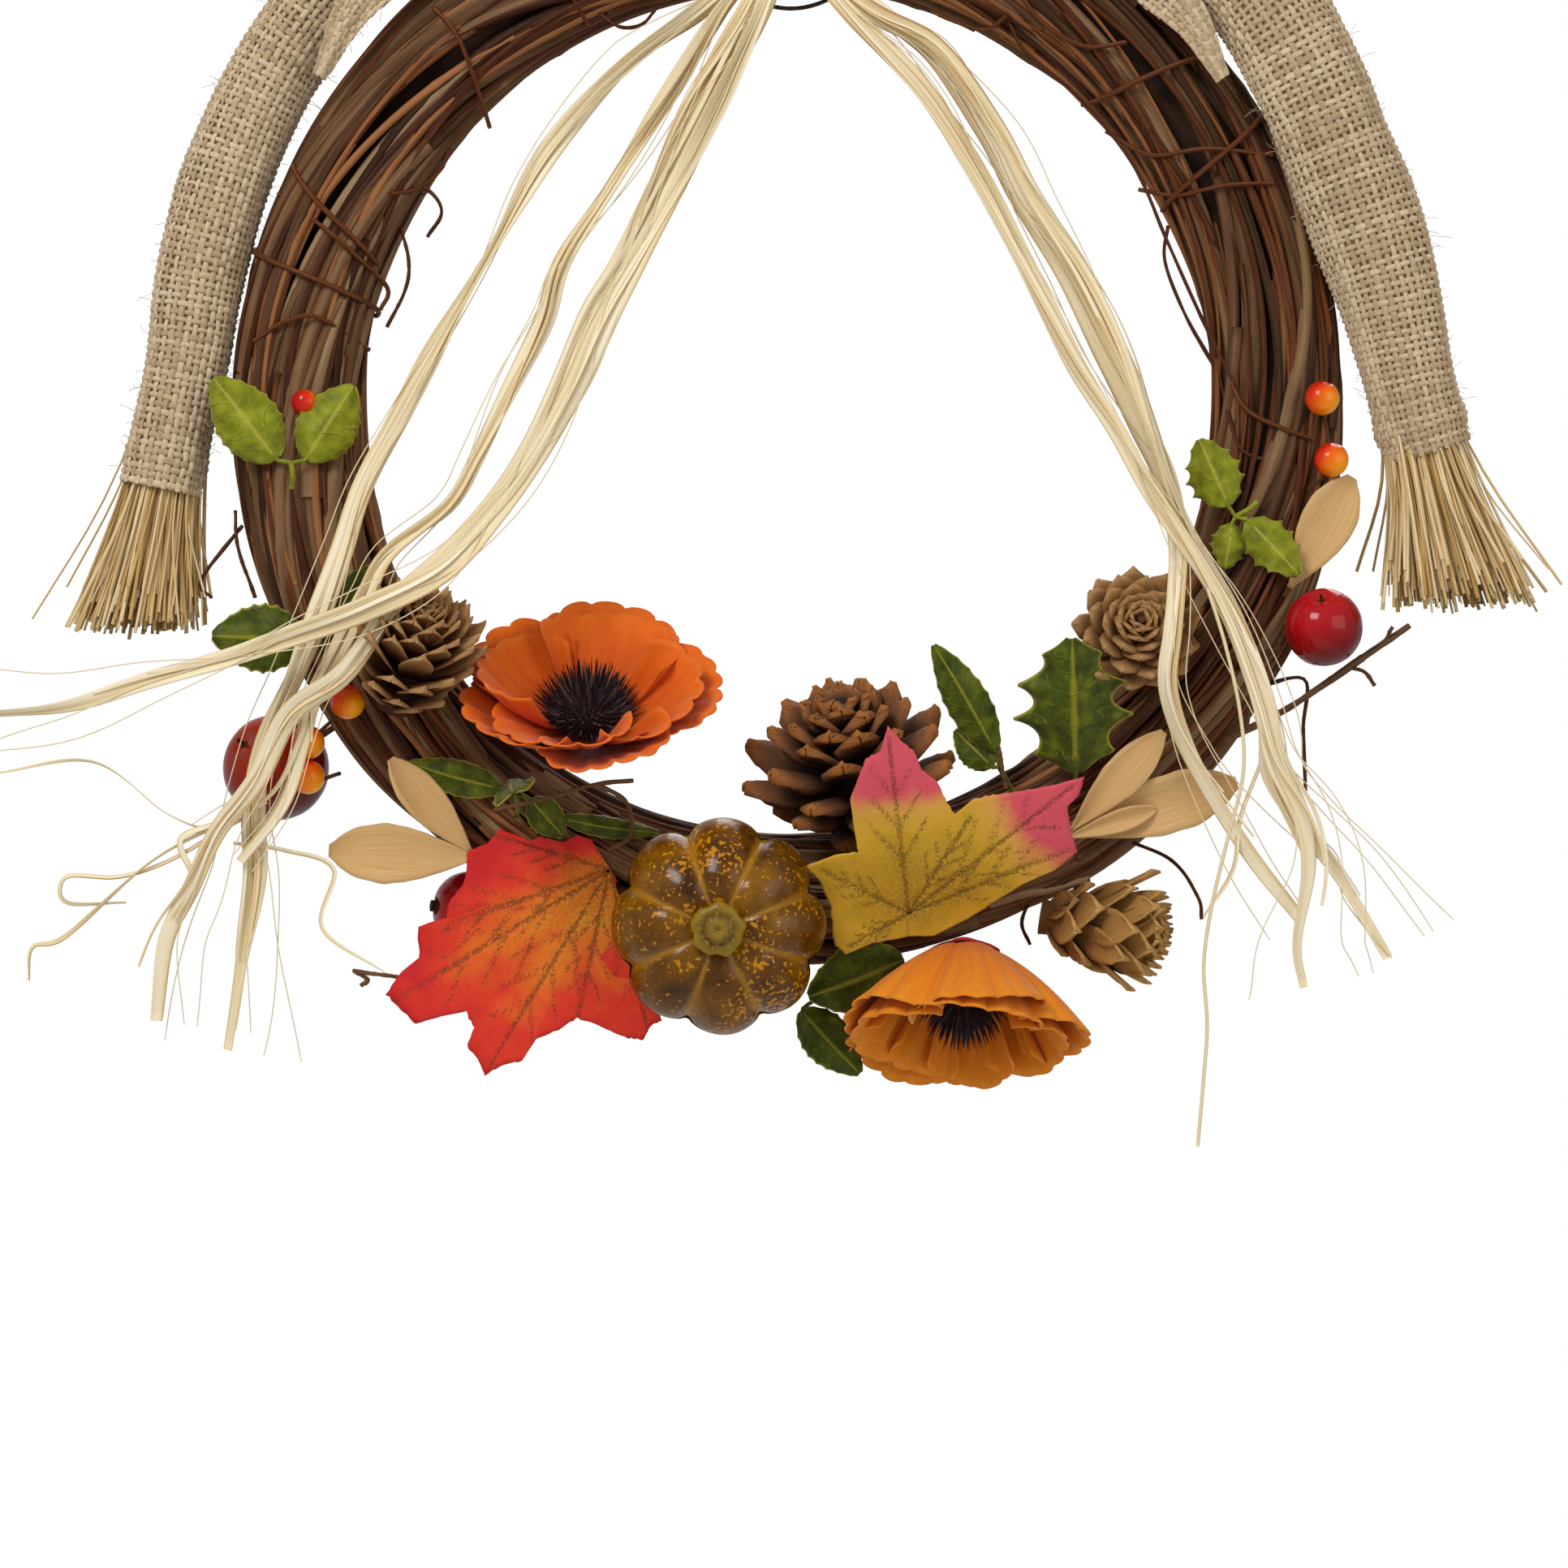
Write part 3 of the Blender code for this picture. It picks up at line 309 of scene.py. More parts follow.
def bumped(tree, shader, height, distance, strength=0.6):
    """Roughens a shader's surface by a height."""
    node = tree.nodes.new("ShaderNodeBump")
    node.inputs["Distance"].default_value = distance * MM
    node.inputs["Strength"].default_value = strength
    tree.links.new(height, node.inputs["Height"])
    tree.links.new(node.outputs["Normal"], shader.inputs["Normal"])


def fibre_material(name, stops, stretch, roughness, bump, sheen=0.0):
    """Streaks along a strand, cane, straw or thread, tinted by its shade value."""
    made, tree, shader = finish_nodes(name, roughness, sheen)
    streaks = noisy(tree, coordinates(tree, "UV", stretch), 1.0)
    tint = weighted(tree, streaks, 0.55, value_of(tree, "shade"), 0.6)
    tree.links.new(ramp(tree, tint, stops), shader.inputs["Base Color"])
    bumped(tree, shader, streaks, bump)
    return made


# ---------------------------------------------------------------- camera, light and floor

VIEW_WIDTH = 431.6
CAMERA_DISTANCE = 1500
VIEW_CENTRE = at(-1.3, 0, -103)
FLOOR_DROP = 340
AMBIENT = 0.5


def make_studio():
    """The camera square to the wreath, soft light all round and a pale floor."""
    camera = bpy.data.objects.new("camera", bpy.data.cameras.new("camera"))
    camera.data.sensor_width = 36
    camera.data.lens = 36 * CAMERA_DISTANCE / VIEW_WIDTH
    camera.data.clip_start = 0.05
    camera.location = VIEW_CENTRE + Vector((0, -CAMERA_DISTANCE * MM, 0))
    camera.rotation_euler = (math.pi / 2, 0, 0)
    bpy.context.scene.collection.objects.link(camera)
    bpy.context.scene.camera = camera
    bpy.context.scene.view_settings.view_transform = "Standard"

    world = bpy.data.worlds.new("studio")
    world.use_nodes = True
    tree = world.node_tree
    background = tree.nodes["Background"]
    background.inputs["Color"].default_value = (1, 1, 1, 1)
    rays = tree.nodes.new("ShaderNodeLightPath")
    seen = maths(tree, "MULTIPLY", rays.outputs["Is Camera Ray"], 1 - AMBIENT)
    tree.links.new(maths(tree, "ADD", seen, AMBIENT), background.inputs["Strength"])
    bpy.context.scene.world = world

    lights = (
        ("key_light", (-700, -1100, 900), 15, 0.6),
        ("fill_light", (900, -900, 200), 4, 0.9),
        ("back_light", (200, 900, 800), 5, 0.8),
    )
    for name, place, power, size in lights:
        lamp = bpy.data.objects.new(name, bpy.data.lights.new(name, "AREA"))
        lamp.data.energy = power
        lamp.data.size = size
        lamp.location = at(*place)
        lamp.rotation_euler = (CENTRE - lamp.location).to_track_quat("-Z", "Y").to_euler()
        bpy.context.scene.collection.objects.link(lamp)

    bpy.ops.mesh.primitive_circle_add(vertices=96, radius=0.5, fill_type="NGON")
    floor = bpy.context.object
    floor.name = "floor"
    floor.location = at(0, 0, -OUTER - FLOOR_DROP)
    pale, tree, shader = finish_nodes("floor", 0.8)
    shade = noisy(tree, coordinates(tree, "Object"), 3.0)
    tree.links.new(ramp(tree, shade, ((0.3, "DCDAD6"), (0.7, "E4E2DE"))), shader.inputs["Base Color"])
    floor.data.materials.append(pale)


# ---------------------------------------------------------------- raffia

# Each strand's real length and width in mm, and its route in mm from the ring's centre, knot to free end.
RAFFIA = {
    "raffia_strand_1": (334.8, 6.0, (
        (-12, -21, 117), (-24, -24, 107), (-44, -26, 92), (-65, -26, 68), (-80, -26, 42),
        (-94, -26, 18), (-105, -26, -3), (-115, -26, -22), (-121, -26, -40), (-127, -27, -57),
        (-134, -28, -75), (-141, -28, -92), (-144, -27, -110), (-144, -26, -128),
        (-148, -25, -150), (-152, -24, -175),
    )),
    "raffia_strand_2": (282.5, 5.0, (
        (-9, -24.5, 117), (-19, -28, 105), (-32, -30, 84), (-47, -30, 60), (-61, -30, 38),
        (-66, -30, 22), (-75, -30, 4), (-84, -30, -14), (-92, -30, -28), (-108, -30, -41),
        (-114, -31, -52), (-121, -32, -66), (-128, -33, -80), (-131, -33, -92),
        (-136, -32, -108), (-148, -30, -124),
    )),
    "raffia_strand_3": (336.7, 6.0, (
        (-6, -28, 117), (-12, -32, 103), (-22, -34, 84), (-34, -34, 61), (-45, -34, 37),
        (-53, -34, 24), (-61, -34, 6), (-70, -34, -13), (-79, -36, -27), (-92, -41, -42),
        (-105, -43, -54), (-119, -40, -73), (-134, -37, -84), (-143, -36, -102),
        (-154, -33, -116), (-161, -31, -131), (-168, -29, -145), (-171, -27, -167),
    )),
    "raffia_strand_4": (321.9, 6.0, (
        (-2.5, -31, 117), (-8, -36, 103), (-18, -38, 83), (-29, -38, 60), (-41, -38, 37),
        (-49, -38, 22), (-57, -38, 4), (-67, -38, -14), (-78, -41, -30), (-92, -46, -46),
        (-112, -47, -56), (-132, -43, -63), (-150, -37, -69), (-172, -33, -75),
        (-195, -28, -82), (-216, -24, -84),
    )),
    "raffia_strand_5": (301.3, 6.0, (
        (12, -21, 117), (26, -25, 105), (40, -27, 93), (53, -27, 73), (62, -27, 55),
        (76, -27, 34), (86, -27, 13), (95, -27, -6), (102, -27, -21), (105, -30, -37),
        (104, -38, -52), (103, -41, -62), (102, -39, -78), (109, -32, -97), (124, -27, -121),
        (138, -25, -139),
    )),
    "raffia_strand_6": (316.0, 5.5, (
        (9, -24.5, 117), (23, -28.5, 105), (40, -31, 95), (56, -31, 74), (66, -31, 55),
        (79, -31, 35), (90, -31, 13), (98, -31, -8), (106, -31, -30), (118, -32, -52),
        (125, -33, -72), (129, -33, -88), (130, -32, -101), (139, -30, -115), (150, -28, -130),
        (162, -26, -150),
    )),
    "raffia_strand_7": (314.8, 5.5, (
        (6, -28, 117), (18, -33, 103), (36, -35, 84), (49, -35, 64), (60, -35, 44),
        (70, -35, 24), (78, -35, 8), (88, -35, -8), (97, -35, -24), (111, -36, -45),
        (120, -37, -61), (127, -37, -80), (131, -36, -97), (138, -34, -112), (140, -32, -126),
        (137, -30, -146), (139, -28, -158),
    )),
    "raffia_thread": (154.3, 1.0, (
        (112, -40, -50), (117, -40, -66), (121, -39, -84), (122, -37, -100), (118, -34, -118),
        (114, -31, -136), (112, -29, -152), (113, -28, -168), (112, -27, -184), (110.6, -26, -201),
    )),
}
RIBBON_THICKNESS = 0.3
RIBBON_COLUMNS = 9
THREAD_RADIUS = 0.5
STRAY_CARRIERS = {"raffia_strand_1": (0, 5), "raffia_strand_6": (5, 7)}

# Curly single fibres that leave the strands near their ends, by (x, z) in mm
STRAY_FIBRES = (
    ((-141, -108), (-154, -115), (-168, -111), (-188, -97), (-214, -100)),
    ((-150, -119), (-136, -121), (-123, -126), (-126, -142), (-109, -154)),
    ((-152, -115), (-168, -124), (-181, -128), (-195, -128), (-195, -135), (-179, -135)),
    ((-150, -112), (-172, -124), (-195, -144), (-204, -147), (-205, -156)),
    ((-144, -100), (-152, -112), (-164, -118), (-160, -130), (-166, -139)),
    ((131, -100), (136, -112), (148, -122), (150, -134), (163, -150)),
    ((128, -96), (122, -112), (120, -126), (112, -139)),
)


def ribbon(pile, path, width, seed, turning=1.0, shade=0.6):
    """A flat papery strip along a path: folded on a wandering crease, and turning as it goes."""
    points = []
    uvs = []
    shades = []
    for share, travelled, point, across, lift in walk(path):
        angle = 1.9 * turning * noise.noise(Vector((travelled * 0.014, seed, 0)))
        side = across * math.cos(angle) + lift * math.sin(angle)
        face = lift * math.cos(angle) - across * math.sin(angle)
        end = 1 - 0.55 * max(0.0, (share - 0.8) / 0.2) - 0.25 * max(0.0, (0.06 - share) / 0.06)
        half = width / 2 * end * (1 + 0.35 * noise.noise(Vector((travelled * 0.022, seed, 5))))
        ridge = 0.9 * noise.noise(Vector((travelled * 0.008, seed, 11)))
        fold = 0.9 * noise.noise(Vector((travelled * 0.02, seed, 17)))
        for layer in (1, -1):
            for k in range(RIBBON_COLUMNS) if layer == 1 else reversed(range(RIBBON_COLUMNS)):
                place = 2 * k / (RIBBON_COLUMNS - 1) - 1
                crease = noise.noise(Vector((place * 1.8, travelled * 0.012, seed + 3)))
                depth = half * (0.45 * fold * abs(place - ridge) + 0.14 * crease)
                depth += layer * RIBBON_THICKNESS / 2
                points.append(point + side * half * place + face * depth)
                uvs.append((place * 0.5 + 0.5 + seed, travelled))
                # Painted shade: one side of the fold's ridge is darker and the other lighter, and the shade also
                # rises and falls with the crease's height.
                fold_side_shade = 0.35 * fold * (1 if place > ridge else -1)
                rim = 0.22 * max(0.0, abs(place) - 0.7) / 0.3
                shades.append(min(max(shade + 0.55 * crease + fold_side_shade - rim, 0), 1))
    pile.add(points, stitch(len(path), 2 * RIBBON_COLUMNS), uvs, shades)


def beside(path, seed, reach, spread_from=0.8, spread=0.0):
    """A path that wanders beside another within reach and leaves it towards its end."""
    result = []
    for share, travelled, point, across, lift in walk(path):
        sway = noise.noise(Vector((travelled * 0.012, seed, 1))) * 2
        rise = noise.noise(Vector((travelled * 0.012, seed, 9)))
        open_share = min(share / 0.12, 1)
        leaving = max(0.0, (share - spread_from) / (1 - spread_from)) ** 1.6 * spread
        aside = across * (sway * reach * open_share + leaving)
        result.append(point + aside + lift * (0.6 + abs(rise)) * open_share)
    return result


def raffia_splits(name, index, path, width, generator):
    """The thinner strips, fine fibres and curly strays that go with one strand."""
    splits = Pile()
    for k in range(2):
        reach = width * (0.3 + 0.2 * k)
        spread = generator.uniform(-11, 11)
        start = generator.uniform(0.6, 0.85)
        split = beside(path, index * 3.1 + k * 7.7, reach, start, spread)
        cut = int(len(split) * generator.uniform(0.86, 1.0))
        wide = generator.uniform(0.9, 2.8)
        ribbon(splits, split[:cut], wide, index + k * 2.3, 1.2, generator.uniform(0.35, 0.75))
    for k in range(3):
        start = generator.uniform(0.4, 0.8)
        spread = generator.uniform(-26, 26)
        fibre = beside(path, index * 5.1 + k * 3.3, width * 0.9, start, spread)
        tube(splits, fibre, 0.16, 4, shade=0.55)
    first, last = STRAY_CARRIERS.get(name, (0, 0))
    for k, stray in enumerate(STRAY_FIBRES[first:last]):
        curl = smooth_route([(x, -27 - k, z) for x, z in stray], 60)
        ribbon(splits, curl, 0.9 + 0.15 * k, k * 4.1, 1.5, 0.5)
    return splits


def make_raffia(straw_gold):
    """The flat strands with their thinner splits, and the one round thread."""
    generator = random.Random(11)
    for index, (name, (length, width, route)) in enumerate(RAFFIA.items()):
        path = smooth_route(route, 120)
        main = Pile()
        if name == "raffia_thread":
            tube(main, path, THREAD_RADIUS, 6)
        else:
            ribbon(main, path, width, index * 1.7)
        strand = main.made(f"{name}_ribbon", straw_gold, "raffia", name)
        if name != "raffia_thread":
            splits = raffia_splits(name, index, path, width, generator)
            splits.made(f"{name}_splits", straw_gold, "raffia")
        at(*route[0])


# ---------------------------------------------------------------- vine ring and hanger


THICK_CANES = 18
INNER_CANES = 44
FINE_CANES = 120
TIE_WIRE_RADIUS = 0.6
TIE_TURNS_APART = 17


def section(clock, turn, reach_out, reach_front):
    """A point of the ring's cross-section: turn 0 faces out, 90 faces front, 180 faces in."""
    angle = math.radians(turn)
    place = spot(clock, reach_out * math.cos(angle))
    place.y = -reach_front * math.sin(angle)
    return place


def on_ring(x, z, clearance):
    """The place on the ring's front surface, or just off it, straight in front of a point."""
    out = (math.hypot(x, z) - MIDDLE) / SPREAD
    bulge = math.sqrt(max(0.0, 1 - min(abs(out), 0.97) ** 2))
    return Vector((x, -HALF_DEPTH * bulge - clearance, z))


def bark_radius(radius, seed, rough=0.1):
    """A cane's radius along and round it: ridges, lumps, and a swollen joint here and there."""

    def size(share, angle):
        along = share * 40
        lump = noise.noise(Vector((along * 0.35, seed, 0)))
        ridge = noise.noise(Vector((math.cos(angle) * 1.6, math.sin(angle) * 1.6 + seed, along * 0.12)))
        joint = math.exp(-((((along + seed * 3.1) % 7) - 3.5) / 0.22) ** 2)
        return radius * (1 + rough * lump + 1.5 * rough * ridge + 0.16 * joint)

    return size


def cane_path(start, sweep, turn, turns, out, front, seed, wander, steps):
    """A cane's line along the bundle, winding slowly round its section and wandering."""
    path = []
    for i in range(steps + 1):
        share = i / steps
        clock = start + sweep * share
        drift = noise.noise(Vector((share * sweep * 0.02, seed, 2)))
        sway = noise.noise(Vector((share * sweep * 0.035, seed, 7)))
        shrink = 1 - wander * 0.02 * (1 + sway)
        angle = turn + turns * clock + wander * 11 * drift
        path.append(section(clock, angle, out * shrink, front * shrink))
    return path


def make_vine_ring():
    """The twisted bundle: a dark core, whose darkest bark tone is painted shade between the canes, thick canes,
    thinner ones between them, and fine vines on top.
    """
    bark = fibre_material(
        "bark", ((0.22, "170C07"), (0.4, "402817"), (0.57, "64452C"), (0.76, "846648"), (0.94, "A08868")),
        (9, 0.035, 1), 0.8, 0.5,
    )
    vine = fibre_material(
        "tendril_bark", ((0.18, "1E0E06"), (0.42, "4A2410"), (0.64, "72401E"), (0.88, "946038")),
        (6, 0.05, 1), 0.6, 0.3,
    )
    generator = random.Random(3)
    core = Pile()
    ring = [section(360 * i / 120, 90, 0, 0) for i in range(120)]
    # The core takes the darkest bark tone: painted shade in the gaps between the canes.
    tube(core, ring, bark_radius(9.5, 1, 0.15), 10, closed=True, shade=0.0)
    core.made("vine_dark_core", bark, "bark", "vine_core")
    thick = Pile()
    for k in range(THICK_CANES):
        radius = generator.uniform(1.9, 3.7)
        turn = 360 * k / THICK_CANES + generator.uniform(-6, 6)
        start = generator.uniform(0, 360)
        sweep = generator.uniform(300, 372)
        path = cane_path(start, sweep, turn, 1.15, SPREAD - radius, HALF_DEPTH - radius, k * 2.3, 2.2, 230)
        tube(thick, path, bark_radius(radius, k * 1.9, 0.13), 10, shade=generator.uniform(0.2, 1.0))
    thick.made("vine_canes", bark, "bark", *[f"vine_cane_{k}" for k in range(1, 7)])
    inner = Pile()
    for k in range(INNER_CANES):
        radius = generator.uniform(1.1, 2.3)
        turn = generator.uniform(0, 360)
        turns = generator.uniform(0.4, 1.9)
        start = generator.uniform(0, 360)
        reach = generator.uniform(0.9, 1.0)
        sweep = generator.uniform(90, 300)
        path = cane_path(start, sweep, turn, turns, SPREAD * reach, HALF_DEPTH * reach, k * 3.7 + 50, 2.0, 170)
        tube(inner, path, bark_radius(radius, k * 2.9 + 40), 7, shade=generator.uniform(0.1, 0.8))
    inner.made("vine_inner_canes", bark, "bark")
    fine = Pile()
    for k in range(FINE_CANES):
        radius = generator.uniform(0.45, 1.3)
        turn = generator.uniform(0, 360)
        turns = generator.uniform(-0.3, 1.7)
        reach = generator.uniform(0.95, 1.04)
        start = generator.uniform(0, 360)
        sweep = generator.uniform(60, 250)
        path = cane_path(start, sweep, turn, turns, SPREAD * reach, HALF_DEPTH * reach, k * 5.3 + 90, 2.2, 130)
        tube(fine, path, bark_radius(radius, k * 1.3 + 70, 0.16), 5, shade=generator.uniform(0.0, 1.0))
    fine.made("vine_fine_canes", vine, "tendril_bark")

    # Tendrils that cross the bundle, each by its (x, z) in mm, and how far they stand off it
    bound = Pile()
    crossings = (
        ((-140, 59), (-126, 48), (-118, 41), (-110, 33), (-112, 27)),
        ((-97, 109), (-91, 102), (-87, 93), (-82, 77)),
        ((-109, 58), (-102, 60), (-96, 65), (-93, 71)),
        ((87, 76), (99, 69), (114, 70), (132, 69)),
        ((96, 60), (106, 58), (119, 60), (132, 61)),
        ((121, 6), (125, -1), (134, -6), (143, -9)),
        ((39, 109), (46, 106), (54, 104), (60, 107)),
        ((-146, 18), (-137, 23), (-128, 24), (-115, 16)),
        ((-70, 122), (-62, 116), (-55, 105)),
        ((63, 112), (70, 104), (81, 98), (92, 99)),
    )
    for k, route in enumerate(crossings):
        path = smooth_route([on_ring(x, z, 1.6) for x, z in route], 40)
        tube(bound, path, bark_radius(0.62, k * 1.1, 0.15), 6, shade=0.4)
    # Tendrils that hug the bundle, each by its first and last clock angle and its first and last turn
    hugging = (
        (287, 283, -20, 200), (296, 289, 30, 150), (58, 62, 10, 170), (44, 51, 170, 20), (240, 246, 60, 190),
    )
    for k, (first, last, low, high) in enumerate(hugging):
        path = []
        for i in range(31):
            share = i / 30
            turn = low + (high - low) * share
            path.append(section(first + (last - first) * share, turn, SPREAD + 1.1, HALF_DEPTH + 1.1))
        tube(bound, path, bark_radius(0.75, k + 20, 0.12), 6, shade=0.4)
    # Loose ends that hang off the inner and outer edge, by (x, y, z) in mm
    loose = (
        ((60, -9, 106), (65, -10, 97), (80, -12, 84), (94, -13, 66), (103, -12, 46), (112, -12, 26), (121, -13, 7)),
        ((104, -6, 50), (103, -9, 40), (108, -11, 26), (116, -9, 12)),
        ((118, -4, 10), (121, -9, -4), (124, -12, -12), (131, -14, -15)),
        ((-107, -4, 52), (-104, -8, 40), (-105, -9, 32), (-110, -8, 22)),
        ((-102, -5, 62), (-97, -9, 58), (-95, -9, 53), (-99, -6, 47)),
        ((-52, -8, 108), (-46, -10, 104), (-40, -9, 105), (-36, -7, 110)),
        ((113, -2, -88), (124, -4, -79), (141, -6, -74), (141, -7, -88), (141.5, -8, -105)),
        ((92, -4, -118), (105, -8, -124), (112, -9, -134), (113, -8, -140)),
        ((70, -4, -128), (64, -8, -140), (66, -9, -147)),
        ((-152, -3, -28), (-151, -6, -38), (-146, -8, -52)),
        ((-150, -3, -32), (-161, -6, -47), (-158, -8, -52)),
    )
    for k, route in enumerate(loose):
        path = smooth_route(route, 44)
        tube(bound, path, bark_radius(0.55, k * 1.7 + 31, 0.2), 5, shade=0.25)
    bound.made("vine_tendrils", vine, "tendril_bark", "vine_tendril_left", "vine_tendril_right")
    return bark


def make_hanger():
    """The tie wire in two turns with its sagging bridge, and the loop that folds behind it."""
    made, tree, shader = finish_nodes("hanger_wire", 0.42)
    shader.inputs["Metallic"].default_value = 0.85
    tarnish = noisy(tree, coordinates(tree, "Object"), 900)
    tree.links.new(ramp(tree, tarnish, ((0.35, "241E1A"), (0.7, "4A4038"))), shader.inputs["Base Color"])
    loop_low, loop_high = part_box("hanging_loop")
    wire = (loop_high.y - loop_low.y) / MM / 2
    loop_y = ((loop_high.y + loop_low.y) / 2 - CENTRE.y) / MM
    thin = TIE_WIRE_RADIUS
    turn_clock = math.degrees(TIE_TURNS_APART / MIDDLE)

    def tie_turn(clock, first, last):
        points = []
        for i in range(61):
            place = section(clock, first + (last - first) * i / 60, SPREAD + 1, HALF_DEPTH + 1)
            if place.y > 0:
                over = loop_y + wire + thin + 0.8
                place.y += (over - place.y) * math.exp(-(((place.z - MIDDLE) / 6) ** 4))
            points.append(place)
        return points

    left = tie_turn(-turn_clock, -170, 170)
    right = tie_turn(turn_clock, 190, 530)
    bridge = []
    for share in (0.2, 0.4, 0.6, 0.8):
        place = left[-1].lerp(right[0], share)
        place.z -= 5 * (1 - (2 * share - 1) ** 2)
        bridge.append(place)
    tie = Pile()
    tube(tie, smooth_route(left + bridge + right, 260), thin, 8, up=Vector((1, 0, 0)), shade=0.5)
    for side in (-1, 1):
        start = left[-1] if side < 0 else right[0]
        bent = [start, start + Vector((-side * 2, -4, -3)), start + Vector((-side * 1, -7, 2))]
        stub = smooth_route(bent, 14)
        tube(tie, stub, thin * 0.9, 6)
    tie.made("hanger_tie_wire", made, "hanger_wire", "hanger_tie")
    half = 12
    bar = 21
    rise = 26
    route = [Vector((x, loop_y, MIDDLE)) for x in (-bar, -bar / 2, 0, bar / 2, bar)]
    route.append(Vector((bar + 1.5, loop_y, MIDDLE + 2)))
    for i in range(13):
        angle = math.pi * i / 12
        route.append(Vector((half * math.cos(angle), loop_y, MIDDLE + rise + half * math.sin(angle))))
    route.append(Vector((-bar - 1.5, loop_y, MIDDLE + 2)))
    route.append(route[0])
    loop = Pile()
    tube(loop, smooth_route(route, 121)[:-1], wire, 10, up=Vector((0, 1, 0)), closed=True)
    loop.made("hanging_wire_loop", made, "hanger_wire", "hanging_loop", body="hanger")


# ---------------------------------------------------------------- burlap

WEAVE_PITCH = 2.15
THREAD_RISE = 0.38
THREAD_HALF = 0.44
THREAD_ROOM = 0.6
SHOULDER_RISE = 19
STRAWS = 700


def flat_thread(pile, path, ups, wide, thick, seed, shade, closed=False):
    """A soft, slightly flattened thread along a path, with slubs; ups holds the cloth's normals."""
    sides = 6
    points = []
    uvs = []
    for i, point in enumerate(path):
        along = heading(path, i, closed)
        across = along.cross(ups[i]).normalized()
        lift = across.cross(along)
        slub = 1 + 0.35 * noise.noise(Vector((i * 0.35, seed, 4)))
        for k in range(sides):
            angle = TWO_PI * k / sides
            points.append(point + across * math.cos(angle) * wide * slub + lift * math.sin(angle) * thick)
            uvs.append((k / sides + seed, i * WEAVE_PITCH / 2))
    pile.add(points, stitch(len(path), sides, closed), uvs, [shade] * len(points))


def weave(
    name, surface, across, along, body, finishes, replaces, around=False, fuzz=30, bare=0.0
):
    """Burlap as real threads on a thin dark cloth, which is painted shadow between them: surface(u, v) gives a place
    and the cloth's normal there.

    The loose fibres stay off the share of the length that bare gives.
    """
    shadow_cloth_finish, thread_finish = finishes
    generator = random.Random(name)
    # A dark sheet under the threads: painted shadow seen through the gaps of the weave.
    cloth = Pile()
    columns = across * 2
    rows = along * 2
    for j in range(rows + 1):
        for i in range(columns + 1):
            place, normal = surface(i / columns, j / rows)
            cloth.points.append(place - normal * 0.4)
            cloth.uvs.append((i / 2, j / 2))
            cloth.shades.append(0.5)
    wide = columns + 1
    for j in range(rows):
        for i in range(columns):
            corner = j * wide + i
            cloth.faces.append((corner, corner + 1, corner + wide + 1, corner + wide))
    sheet = cloth.made(f"{name}_cloth", shadow_cloth_finish, "burlap", *replaces, body=body)
    warp = Pile()
    for i in range(across):
        path = []
        ups = []
        wobble = generator.uniform(0, 90)
        for j in range(rows + 1):
            u = (i + 0.5 + 0.16 * noise.noise(Vector((j * 0.15, wobble, 0)))) / across
            place, normal = surface(u, j / rows)
            lift = THREAD_RISE * math.cos(math.pi * ((j - 1) / 2 + i))
            path.append(place + normal * lift)
            ups.append(normal)
        flat_thread(warp, path, ups, generator.uniform(0.68, 0.95), THREAD_HALF, wobble, generator.uniform(0.25, 0.8))
    weft = Pile()
    for j in range(along):
        path = []
        ups = []
        wobble = generator.uniform(0, 90)
        for i in range(columns + (0 if around else 1)):
            v = (j + 0.5 + 0.2 * noise.noise(Vector((i * 0.12, wobble, 0)))) / along
            place, normal = surface(i / columns, v)
            lift = -THREAD_RISE * math.cos(math.pi * ((i - 1) / 2 + j))
            path.append(place + normal * lift)
            ups.append(normal)
        wide_thread = generator.uniform(0.64, 0.92)
        flat_thread(weft, path, ups, wide_thread, THREAD_HALF, wobble, generator.uniform(0.25, 0.8), around)
    hairs = Pile()
    for _ in range(fuzz):
        u = generator.random()
        v = generator.random()
        place, normal = surface(u, v)
        aim = Vector([generator.uniform(-1, 1) for _ in range(3)]) + normal * 0.7
        length = generator.uniform(1.5, 4.5)
        curl = Vector([generator.uniform(-1, 1) for _ in range(3)])
        route = [place, place + aim * length * 0.5, place + aim * length * 0.8 + curl * length * 0.35]
        if v > bare:
            tube(hairs, smooth_route(route, 5), 0.07, 3, up=Vector((0.1, 0.2, 1)), shade=0.8)
    parts = [
        pile.made(f"{name}_{kind}", thread_finish, "burlap", body=body)
        for kind, pile in (("warp", warp), ("weft", weft), ("fuzz", hairs))
    ]


def burlap_finishes():
    """The dark cloth seen between the threads, coloured as painted shadow, and the threads themselves."""
    threads = fibre_material(
        "burlap", ((0.2, "84694A"), (0.42, "A68C6A"), (0.62, "BEA582"), (0.85, "D4C0A0")),
        (5, 0.25, 1), 0.92, 0.25, 0.3,
    )
    return fibre_material("burlap_shadow", ((0.3, "66523A"), (0.7, "8A7454")), (2, 2, 1), 0.95, 0.1), threads


def sleeve_line(side):
    """The sleeve's middle line from the shoulder to the cuff, as the CAD sleeve has it."""
    if side < 0:
        rest = 12.3 + 0.7
        splay = ((330, 5.6, 0), (315, 5.0, 0), (301.5, 3.6, 0), (286, 0.6, 0), (275, 0.6, 0))
        splay += ((266.5, 5.4, 0), (262.8, 8.8, 0))
    else:
        rest = 15.5 - 1.8
        splay = ((30, 5.2, 0.1), (43, 5.2, 0.55), (52, 3.5, 0.9), (63.5, 0, 1), (77, 0, 1))
        splay += ((88.5, 3.6, 0.9), (94, 8.8, 0.8))
    points = [Vector((side * 15, 0, OUTER + SHOULDER_RISE))]
    for clock, extra, forward in splay:
        place = spot(clock, OUTER - MIDDLE + rest + extra)
        place.y = -forward * (HALF_DEPTH - 3)
        points.append(place)
    return points


